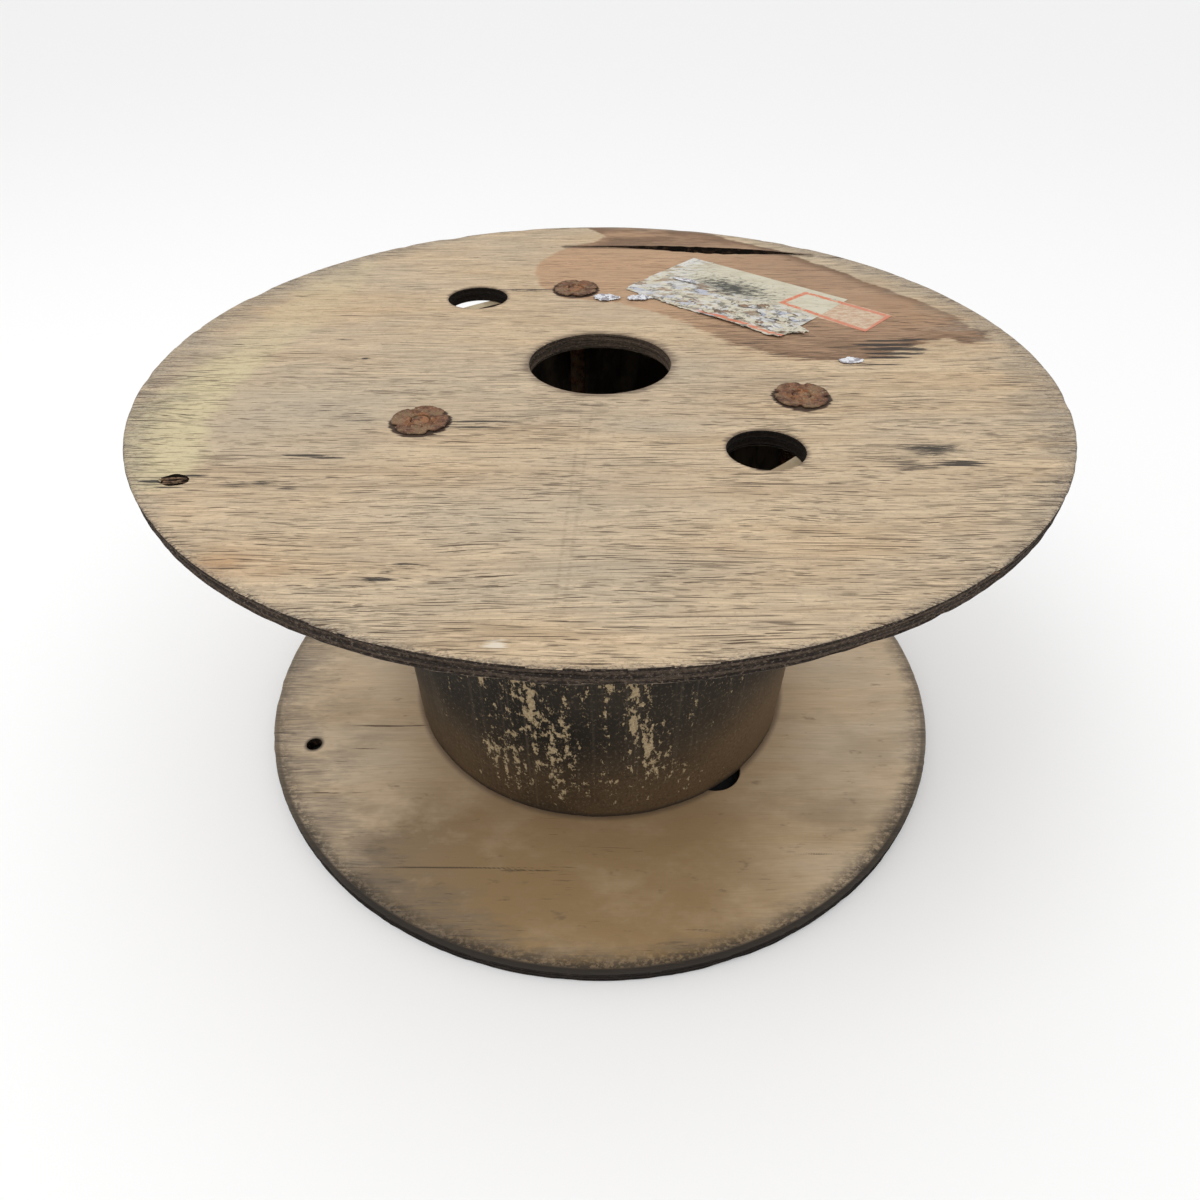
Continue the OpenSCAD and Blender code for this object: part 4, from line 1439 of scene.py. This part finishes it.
def ply_edge(name, bottom, rubbed, soot):
    """The finish of a disc's sawn edge: how far its lower arris is rubbed bare, and how sooty it is."""
    f = Finish(name, roughness=0.88, specular=0.12)
    layer = f.math("MULTIPLY", f.math("SUBTRACT", f.z, bottom), PLIES / FLANGE_T)
    streak = f.noise(f.stretched(26, 26, 1500), 4, 0.7)
    lumps = f.noise(f.stretched(90, 90, 160), 3, 0.6)
    wander = f.math("ADD", layer, f.math("MULTIPLY", f.math("SUBTRACT", lumps, 0.5), 0.5))
    odd = f.math("PINGPONG", f.math("ADD", wander, 0.5), 1.0)
    grain_end = f.noise(f.stretched(700, 700, 1100, (1, 2, 3)), 3, 0.75)
    colour = f.mix(f.ramp(odd, 0.36, 0.64), LONG_PLY, END_PLY)
    colour = f.mix(f.ramp(streak, 0.52, 0.72, 0, 0.7), colour, SAW_PALE)
    colour = f.mix(f.ramp(streak, 0.48, 0.3, 0, 0.8), colour, SAW_DARK)
    colour = f.mix(f.ramp(grain_end, 0.53, 0.68, 0, 0.7), colour, FIBRE_PALE)
    colour = f.mix(f.ramp(grain_end, 0.47, 0.34, 0, 0.85), colour, PLY_BLACK)
    off_axis = f.length(f.stretched(1, 1, 0))
    in_bore = f.ramp(off_axis, 0.055, 0.045, 0, 0.4)
    colour = f.mix(f.product(in_bore, f.ramp(streak, 0.35, 0.65)), colour, BORE_TAN)
    # Painted shade: the walls of the drive holes are made near black.
    drive_hole_shade = f.product(f.ramp(off_axis, 0.06, 0.1), f.ramp(off_axis, 0.2, 0.16), 0.85)
    colour = f.mix(drive_hole_shade, colour, DRIVE_HOLE_SHADE)
    low = f.math("MULTIPLY", f.math("SUBTRACT", f.z, bottom), 1 / MM)
    bare = f.product(f.ramp(low, 0.9, 0.35), f.ramp(lumps, 0.35, 0.55), rubbed)
    colour = f.mix(bare, colour, RUBBED_PALE)
    high = f.math("SUBTRACT", FLANGE_T / MM, low)
    worn_top = f.product(f.ramp(high, 0.8, 0.1), f.ramp(lumps, 0.4, 0.6), 0.5)
    colour = f.mix(worn_top, colour, ARRIS_PALE)
    colour = f.mix(f.product(soot, f.ramp(lumps, 0.2, 0.6, 0.6, 1)), colour, SOOT)
    return f.finish(colour, f.math("ADD", streak, f.math("ADD", lumps, grain_end)), 0.6 * MM)


upper_plies = ply_edge("upper_plies", TOP - FLANGE_T, 0.9, 0.0)
lower_plies = ply_edge("lower_plies", 0, 0.12, 0.9)
print("ply edges:", len(upper_plies.node_tree.nodes), "nodes each")

# %% Torn wood
TORN_DARK = (0.012, 0.009, 0.007)
TORN_BROWN = (0.075, 0.045, 0.028)

f = Finish("torn_wood", roughness=0.95, specular=0.05)
deep = f.noise(f.stretched(60, 900, 300), 3, 0.6)
colour = f.mix(f.ramp(deep, 0.45, 0.75), TORN_DARK, TORN_BROWN)
torn_wood = f.finish(colour, deep, 0.6 * MM)
print("torn wood ready")

# %% Laying the finishes on the discs
SUNK = 1.3 * MM
STEEP = 0.55
BORE_ROOM = 1.5 * MM
DRIVE_ROOM = 1.2 * MM
RIM_ROOM = 3 * MM


def lay_on(piece, face_finish, edge_finish, top, bottom):
    """The veneer goes on a disc's flat faces, the ply finish on its edges, torn wood in its wounds."""
    piece.data.materials.clear()
    for material in (face_finish, edge_finish, torn_wood):
        piece.data.materials.append(material)
    for face in piece.data.polygons:
        centre = face.center
        off_axis = math.hypot(centre.x, centre.y)
        sunk = top - centre.z > SUNK and centre.z - bottom > SUNK
        steep = abs(face.normal.z) < STEEP
        sawn = off_axis < BORE_R + BORE_ROOM or off_axis > FLANGE_R - RIM_ROOM
        sawn = sawn or min((centre.xy - d.xy).length for d in DRIVES) < DRIVE_R + DRIVE_ROOM
        if sawn:
            face.material_index = 1 if steep or sunk else 0
        else:
            face.material_index = 2 if steep or sunk else 0


lay_on(upper, upper_veneer, upper_plies, TOP, TOP - FLANGE_T)
lay_on(lower, lower_veneer, lower_plies, FLANGE_T, 0)
print("discs finished")

# %% [markdown]
# The barrel board is painted near black, and rubbed. Where cable has scraped it, tan board shows in flakes
# that line up into upright trails. How much is rubbed is painted on the points, as soft upright ovals round
# the tube, and noise breaks that into flakes. Low down the paint is made browner, a painted light bounced up
# from the floor, and it is browner on the right too. A painted shadow darkens its foot.
# %% Painting the barrel
RUB_SPOTS = [
    # turn in degrees from the front, height in mm, reach in degrees, reach in mm, strength
    (-29, 150, 4.0, 90, 1.0), (-19, 120, 9.0, 80, 1.0), (-12, 80, 8.0, 60, 1.05), (-25, 60, 12, 42, 1.0),
    (2, 150, 9.0, 46, 1.0), (8, 115, 7.0, 55, 1.0), (12, 75, 7.0, 50, 1.05), (24, 185, 9, 34, 1.0),
    (31, 165, 7, 26, 0.9),
    (-6, 45, 22, 24, 0.8), (20, 45, 12, 22, 0.75), (-46, 130, 10, 60, 0.62), (33, 140, 12, 50, 0.6),
    (0, 110, 40, 90, 0.5), (110, 120, 26, 70, 0.9), (160, 80, 22, 60, 0.85), (-100, 140, 24, 60, 0.85),
    (-150, 60, 26, 50, 0.8), (75, 60, 14, 50, 0.75), (180, 170, 30, 40, 0.7),
]
board = places(barrel)
turn_deg = np.degrees(np.arctan2(board[:, 0], -board[:, 1]))
height_mm = board[:, 2] / MM
rubbed = np.zeros(len(board))
for spot_turn, spot_height, reach_turn, reach_height, strength in RUB_SPOTS:
    off = (turn_deg - spot_turn + 180) % 360 - 180
    bump = np.exp(-((off / reach_turn) ** 2) - ((height_mm - spot_height) / reach_height) ** 2)
    rubbed = np.maximum(rubbed, strength * bump)
paint(barrel, "rubbed", rubbed)
paint(barrel, "around", np.radians(turn_deg) * BARREL_R)
print("rubbed spots on the barrel:", len(RUB_SPOTS))

# %% Barrel paint
PAINT_DARK = (0.011, 0.0088, 0.0065)
PAINT_WORN = (0.027, 0.021, 0.0145)
STREAK_GREY = (0.085, 0.068, 0.05)
BOUNCE_LIGHT_AND_RIGHT_BROWN = (0.11, 0.068, 0.034)
DUST_PALE = (0.17, 0.135, 0.095)
DUST_DARK = (0.012, 0.01, 0.008)

f = Finish("barrel_paint", roughness=0.75, specular=0.16)
# the tube's own surface: metres round it and up it
wrapped = f.tree.nodes.new("ShaderNodeCombineXYZ")
f.feed(wrapped.inputs[0], f.number("around"))
f.feed(wrapped.inputs[1], f.z)
skin = wrapped.outputs[0]
cloud = f.noise(f.stretched(9, 9, 12), 4, 0.6)
trails = f.noise(f.stretched(130, 22, 0, (1, 1, 0), skin), 4, 0.65)
flakes = f.noise(f.stretched(210, 140, 0, (5, 3, 0), skin), 5, 0.75)
crumbs = f.noise(f.stretched(620, 430, 0, (2, 8, 0), skin), 2, 0.6)
colour = f.mix(f.ramp(cloud, 0.4, 0.65), PAINT_DARK, PAINT_WORN)
streaks = f.noise(f.stretched(300, 6, 0, (0, 2, 0), skin), 3, 0.6)
colour = f.mix(f.ramp(streaks, 0.5, 0.75, 0, 0.45), colour, STREAK_GREY)
# Painted bounce light: browner low down, as if lit from the floor; browner on the right as well.
brown = f.math("ADD", f.ramp(f.z, 0.11, 0.01), f.ramp(f.x, 0.03, 0.13, 0, 0.55))
brown = f.product(brown, f.ramp(cloud, 0.25, 0.65, 0.5, 1.0))
colour = f.mix(f.ramp(brown, 0.05, 1.1, 0, 0.8), colour, BOUNCE_LIGHT_AND_RIGHT_BROWN)
dust = f.noise(f.stretched(480, 380, 0, (4, 4, 0), skin), 3, 0.7)
colour = f.mix(f.ramp(dust, 0.54, 0.7, 0, 0.5), colour, DUST_PALE)
colour = f.mix(f.ramp(dust, 0.46, 0.3, 0, 0.6), colour, DUST_DARK)
print("barrel paint:", len(f.tree.nodes), "nodes")

# %% Flakes in the paint
BOARD_TAN = (0.46, 0.36, 0.22)
BOARD_BROWN = (0.3, 0.225, 0.13)
BARREL_BASE_SHADOW = (0.03, 0.022, 0.016)
FLAKE_NEED = 0.65

level = f.math("ADD", f.math("MULTIPLY", trails, 0.42), f.math("MULTIPLY", flakes, 0.58))
level = f.math("ADD", level, f.math("MULTIPLY", f.math("SUBTRACT", crumbs, 0.5), 0.14))
need = f.math("SUBTRACT", FLAKE_NEED, f.math("MULTIPLY", f.number("rubbed"), 0.15))
bare = f.ramp(f.math("SUBTRACT", level, need), -0.004, 0.014)
board_tone = f.mix(f.ramp(crumbs, 0.35, 0.65), BOARD_TAN, BOARD_BROWN)
colour = f.mix(f.math("MULTIPLY", bare, 0.92), colour, board_tone)
# Painted shadow: a dark band at the barrel's foot, where it meets the lower disc.
foot = f.ramp(f.z, 0.014, 0.0095)
colour = f.mix(f.math("MULTIPLY", foot, 0.8), colour, BARREL_BASE_SHADOW)
relief = f.math("SUBTRACT", f.math("MULTIPLY", flakes, 0.4), f.math("MULTIPLY", bare, 0.8))
barrel_paint = f.finish(colour, relief, 0.3 * MM, f.ramp(bare, 0, 1, 0.55, 0.9))
print("with flakes:", len(f.tree.nodes), "nodes")

# %% Board inside the barrel, painted dark as shade, and on its ends
INNER_SHADE = (0.05, 0.04, 0.031)
INNER_SHADE_BROWN = (0.14, 0.108, 0.076)
RAW_PALE = (0.52, 0.43, 0.29)
RAW_BROWN = (0.33, 0.25, 0.16)
ON_END = 0.7
PAINTED_SKIN = 2 * MM

# Painted shade: the inside of the barrel is made near black, mottled browner by a noise.
f = Finish("shaded_inner_board", roughness=0.95, specular=0.05)
soot = f.noise(f.stretched(60, 60, 30), 4, 0.6)
inner_board = f.finish(f.mix(f.ramp(soot, 0.4, 0.65), INNER_SHADE, INNER_SHADE_BROWN), soot, 0.4 * MM)

f = Finish("bare_board", roughness=0.9, specular=0.15)
layers = f.noise(f.stretched(40, 40, 300), 4, 0.6)
bare_board = f.finish(f.mix(f.ramp(layers, 0.4, 0.65), RAW_PALE, RAW_BROWN), layers, 0.4 * MM)

barrel.data.materials.clear()
barrel.data.materials.append(barrel_paint)
barrel.data.materials.append(bare_board)
barrel.data.materials.append(inner_board)
for face in barrel.data.polygons:
    off_axis = math.hypot(face.center.x, face.center.y)
    on_end = abs(face.normal.z) > ON_END
    face.material_index = 1 if on_end else (0 if off_axis > BARREL_R - PAINTED_SKIN else 2)
print("barrel finished")

# %% [markdown]
# Nuts and bolts have rusted through their plating. The rust is brown and matt, blackened in patches, with
# fresher orange round the thread, where the bolt's end has kept the wet. The outer edge of each nut's plate
# is darkened, with rust and with painted shade.
# %% Rust
THREAD_R = 7 * MM
EDGE_RUST_AND_SHADE = (0.03, 0.018, 0.012)
THREAD_BLACK = (0.05, 0.026, 0.018)
RUST_OCHRE = (0.27, 0.185, 0.105)
RUST_FLECK = (0.45, 0.31, 0.2)
PORE_BLACK = (0.03, 0.015, 0.01)
NUT_BROWN = (0.215, 0.105, 0.057)
NUT_DARK = (0.09, 0.044, 0.025)
NUT_ORANGE = (0.33, 0.135, 0.055)
BOLT_BROWN = (0.2, 0.095, 0.052)
BOLT_DARK = (0.08, 0.04, 0.025)
BOLT_ORANGE = (0.34, 0.15, 0.065)


def rust(name, base, dark, fresh, centres):
    """Rusty steel. It is fresher within a few millimetres of each centre, and its outer edge is darkened with
    rust and painted shade.
    """
    f = Finish(name, roughness=0.86, specular=0.3, metallic=0.0)
    blotch = f.noise(f.stretched(260, 260, 260), 4, 0.65)
    grains = f.noise(f.stretched(1500, 1500, 1500), 3, 0.7)
    colour = f.mix(f.ramp(blotch, 0.4, 0.62), dark, base)
    heart = FAR_AWAY
    for centre in centres:
        ring = f.around(centre.xy, THREAD_R, THREAD_R)
        heart = ring if heart == FAR_AWAY else f.math("MINIMUM", heart, ring)
    # The outer edge of the plate is darkened: rust, and painted shade.
    colour = f.mix(f.ramp(heart, 1.85, 2.12, 0, 0.75), colour, EDGE_RUST_AND_SHADE)
    round_thread = f.product(f.ramp(heart, 0.82, 0.95), f.ramp(heart, 1.2, 1.04), 0.6)
    colour = f.mix(round_thread, colour, THREAD_BLACK)
    orange = f.product(f.ramp(heart, 1.5, 0.7), f.ramp(blotch, 0.4, 0.6, 0.1, 0.9))
    colour = f.mix(f.math("MULTIPLY", orange, 0.88), colour, fresh)
    patches = f.noise(f.stretched(120, 160, 120, (5, 1, 0)), 4, 0.6)
    colour = f.mix(f.ramp(patches, 0.48, 0.6, 0, 0.6), colour, RUST_OCHRE)
    flecks = f.noise(f.stretched(700, 700, 700, (3, 3, 0)), 2, 0.6)
    colour = f.mix(f.ramp(flecks, 0.62, 0.7, 0, 0.7), colour, RUST_FLECK)
    colour = f.mix(f.ramp(grains, 0.5, 0.75, 0, 0.6), colour, fresh)
    colour = f.mix(f.ramp(grains, 0.48, 0.3, 0, 0.7), colour, PORE_BLACK)
    return f.finish(colour, f.math("ADD", blotch, grains), 0.5 * MM)


nut_rust = rust("nut_rust", NUT_BROWN, NUT_DARK, NUT_ORANGE, BOLTS)
bolt_rust = rust("bolt_rust", BOLT_BROWN, BOLT_DARK, BOLT_ORANGE, BOLTS)
for piece in nuts:
    piece.data.materials.append(nut_rust)
for piece in rods:
    piece.data.materials.append(bolt_rust)
print("steel finished")

# %% [markdown]
# The label's card was cream. It is smeared with black in the middle, greyed and white where its face has been
# scraped off, and what is left of a plain red frame crosses its right-hand corner onto the strip of tape.
# The frame's distance is painted on the points, as the stain's was.
# %% Red frame and flakes of card
RED_FRAME = [(117.5, 89), (136.5, 106), (181, 66), (161.5, 42.5)]
CREASE_SHADOW = (0.085, 0.07, 0.058)
FLAKE_CREAM = (0.6, 0.56, 0.45)
FLAKE_WHITE = (0.6, 0.59, 0.57)
FLAKE_BLUE = (0.43, 0.45, 0.52)
FLAKE_STRAW = (0.56, 0.51, 0.39)
FLAKE_SOAKED = (0.27, 0.18, 0.12)

for piece in [label, tape, *wads]:
    paint(piece, "frame", np.abs(signed_distance(places(piece) / MM, RED_FRAME)))


def flakes_of(f, waves):
    """Torn flakes of card in cream, white, blue, straw and soaked brown, and the creases between, where
    shadow lines are painted.
    """
    bend = f.noise(f.stretched(waves * 1.6, waves * 2.4, 0, (2, 6, 0)), 3, 0.65)
    warped = f.tree.nodes.new("ShaderNodeCombineXYZ")
    f.feed(warped.inputs[0], f.math("ADD", f.x, f.math("MULTIPLY", bend, 2.2 / waves)))
    f.feed(warped.inputs[1], f.math("ADD", f.y, f.math("MULTIPLY", bend, -1.6 / waves)))
    gap, pick = f.cells(f.stretched(waves, waves * 1.5, 0, (4, 4, 0), warped.outputs[0]))
    tone = f.mix(f.ramp(pick, 0.3, 0.36), FLAKE_CREAM, FLAKE_WHITE)
    tone = f.mix(f.ramp(pick, 0.6, 0.64), tone, FLAKE_BLUE)
    tone = f.mix(f.ramp(pick, 0.68, 0.72), tone, FLAKE_STRAW)
    tone = f.mix(f.ramp(pick, 0.86, 0.9), tone, FLAKE_SOAKED)
    return tone, f.ramp(gap, 0.5, 0.72)


print("red frame:", len(RED_FRAME), "corners")

# %% Label card
CARD_CREAM = (0.585, 0.55, 0.43)
CARD_AGED = (0.49, 0.44, 0.33)
CARD_WHITE = (0.66, 0.65, 0.62)
CARD_SOAKED = (0.31, 0.21, 0.14)
CARD_DIRT = (0.14, 0.12, 0.105)
CARD_FLECK = (0.2, 0.18, 0.15)
SMEAR_BLACK = (0.045, 0.046, 0.042)
FRAME_RED = (0.6, 0.185, 0.1)

f = Finish("label_card", roughness=0.75, specular=0.25)
along = f.number("along")
across = f.number("across")
smudge = f.noise(f.stretched(70, 260, 100), 4, 0.7)
scuff = f.noise(f.stretched(160, 420, 200, (3, 1, 0)), 4, 0.7)
tear = f.noise(f.stretched(55, 120, 90, (9, 4, 0)), 4, 0.65)
colour = f.mix(f.ramp(smudge, 0.4, 0.7), CARD_CREAM, CARD_AGED)
near_edge = f.ramp(across, 12, -14)
left_end = f.ramp(along, -30, -58)
worn_off = f.math("MAXIMUM", near_edge, f.math("MULTIPLY", left_end, 0.8))
colour = f.mix(f.product(worn_off, f.ramp(tear, 0.46, 0.54)), colour, CARD_WHITE)
colour = f.mix(f.product(worn_off, f.ramp(tear, 0.46, 0.4), 0.9), colour, CARD_SOAKED)
colour = f.mix(f.product(worn_off, f.ramp(scuff, 0.5, 0.36), 0.85), colour, CARD_DIRT)
flecks = f.product(f.ramp(scuff, 0.6, 0.68), 0.7)
colour = f.mix(flecks, colour, CARD_FLECK)
smear_x = f.math("DIVIDE", f.math("ADD", along, 7), 36)
smear_y = f.math("DIVIDE", f.math("ADD", across, -8), 20)
smear = f.math("SQRT", f.math("ADD", f.math("POWER", smear_x, 2), f.math("POWER", smear_y, 2)))
smear = f.math("ADD", smear, f.math("MULTIPLY", f.math("SUBTRACT", scuff, 0.5), 4.0))
colour = f.mix(f.ramp(smear, 1.1, 0.1, 0, 0.95), colour, SMEAR_BLACK)
red_wear = f.ramp(scuff, 0.61, 0.49)
from_foot = f.math("ABSOLUTE", f.math("ADD", across, 38))
foot_line = f.product(f.ramp(from_foot, 2.2, 1.2), f.ramp(along, -4, 4))
red = f.product(f.math("MAXIMUM", f.ramp(f.number("frame"), 2.0, 1.3), foot_line), red_wear)
colour = f.mix(red, colour, FRAME_RED)
flake_tone, crease = flakes_of(f, 140)
near_flakes = f.product(f.ramp(near_edge, 0.05, 0.5), f.ramp(tear, 0.4, 0.5))
colour = f.mix(f.product(near_flakes, 0.85), colour, flake_tone)
# Painted shadow in the creases between flakes.
colour = f.mix(f.product(near_flakes, crease, 0.7), colour, CREASE_SHADOW)
colour = f.mix(f.product(red, 0.85), colour, FRAME_RED)
label_card = f.finish(colour, f.math("ADD", scuff, smudge), 0.35 * MM)
label.data.materials.append(label_card)
print("label card:", len(f.tree.nodes), "nodes")

# %% Tape and pulp
TAPE_BROWN = (0.47, 0.31, 0.2)
TAPE_PALE = (0.6, 0.47, 0.34)
TAPE_RED = (0.58, 0.19, 0.11)
PULP_DIRT = (0.15, 0.13, 0.11)
PULP_BROWN = (0.18, 0.13, 0.1)

f = Finish("wet_tape", roughness=0.6, specular=0.3)
scuff = f.noise(f.stretched(160, 420, 200, (3, 1, 0)), 4, 0.7)
colour = f.mix(f.ramp(scuff, 0.42, 0.6), TAPE_BROWN, TAPE_PALE)
red = f.product(f.ramp(f.number("frame"), 2.1, 1.4), f.ramp(scuff, 0.68, 0.56))
colour = f.mix(f.product(red, 0.9), colour, TAPE_RED)
wet_tape = f.finish(colour, scuff, 0.2 * MM)
tape.data.materials.append(wet_tape)

f = Finish("card_pulp", roughness=0.9, specular=0.15)
fibres = f.noise(f.stretched(240, 520, 500), 4, 0.7)
colour, crease = flakes_of(f, 170)
colour = f.mix(f.ramp(fibres, 0.48, 0.36, 0, 0.6), colour, PULP_DIRT)
# Painted shadow in the creases between flakes.
colour = f.mix(f.math("MULTIPLY", crease, 0.7), colour, CREASE_SHADOW)
colour = f.mix(f.ramp(f.number("crumple"), 0.5, 0.1, 0, 0.6), colour, PULP_BROWN)
card_pulp = f.finish(colour, f.math("SUBTRACT", fibres, crease), 0.5 * MM)
for piece in wads:
    piece.data.materials.append(card_pulp)
print("tape and", len(wads), "wads finished")

# %% Foil and splinters
FOIL_BRIGHT = (0.83, 0.84, 0.88)
FOIL_DULL = (0.36, 0.34, 0.37)
SPLINTER_BROWN = (0.22, 0.14, 0.085)
SPLINTER_DARK = (0.06, 0.038, 0.024)

f = Finish("old_foil", roughness=0.3, specular=0.6, metallic=0.75)
facets = f.noise(f.stretched(420, 420, 420), 2, 0.5)
colour = f.mix(f.ramp(facets, 0.45, 0.6), FOIL_BRIGHT, FOIL_DULL)
old_foil = f.finish(colour, facets, 1.0 * MM)
for piece in foils:
    piece.data.materials.append(old_foil)

f = Finish("raw_splinter", roughness=0.9, specular=0.1)
sliver_tone = f.noise(f.stretched(400, 900, 900), 3, 0.6)
colour = f.mix(f.ramp(sliver_tone, 0.4, 0.62), SPLINTER_BROWN, SPLINTER_DARK)
raw_splinter = f.finish(colour, sliver_tone, 0.2 * MM)
pit_splinters.data.materials.append(raw_splinter)
rim_splinters.data.materials.append(raw_splinter)
print("foil and splinters finished")

# %% [markdown]
# Smooth shading hides the facets of the turned pieces, while edges sharper than the given angle stay crisp.
# Then each piece is hung on the root, and the parts of the construction that the pieces replace are hidden.
# %% Smooth shading
CRISP = math.radians(38)
dressed = [upper, lower, barrel, *nuts, *rods, label, tape, *wads, *foils, pit_splinters, rim_splinters]
for piece in dressed:
    select_only(piece)
    bpy.ops.object.shade_smooth_by_angle(angle=CRISP)
print("shaded", len(dressed), "pieces")

# %% Riding and replacing
for piece in dressed:
    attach(piece, "root")
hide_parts("upper_flange")
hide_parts("lower_flange")
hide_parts("barrel")
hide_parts("label")
for number, (nut, rod) in enumerate(zip(nuts, rods), start=1):
    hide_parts(f"tee_nut_{number}")
    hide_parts(f"tie_bolt_{number}")
print("riding:", len(dressed))
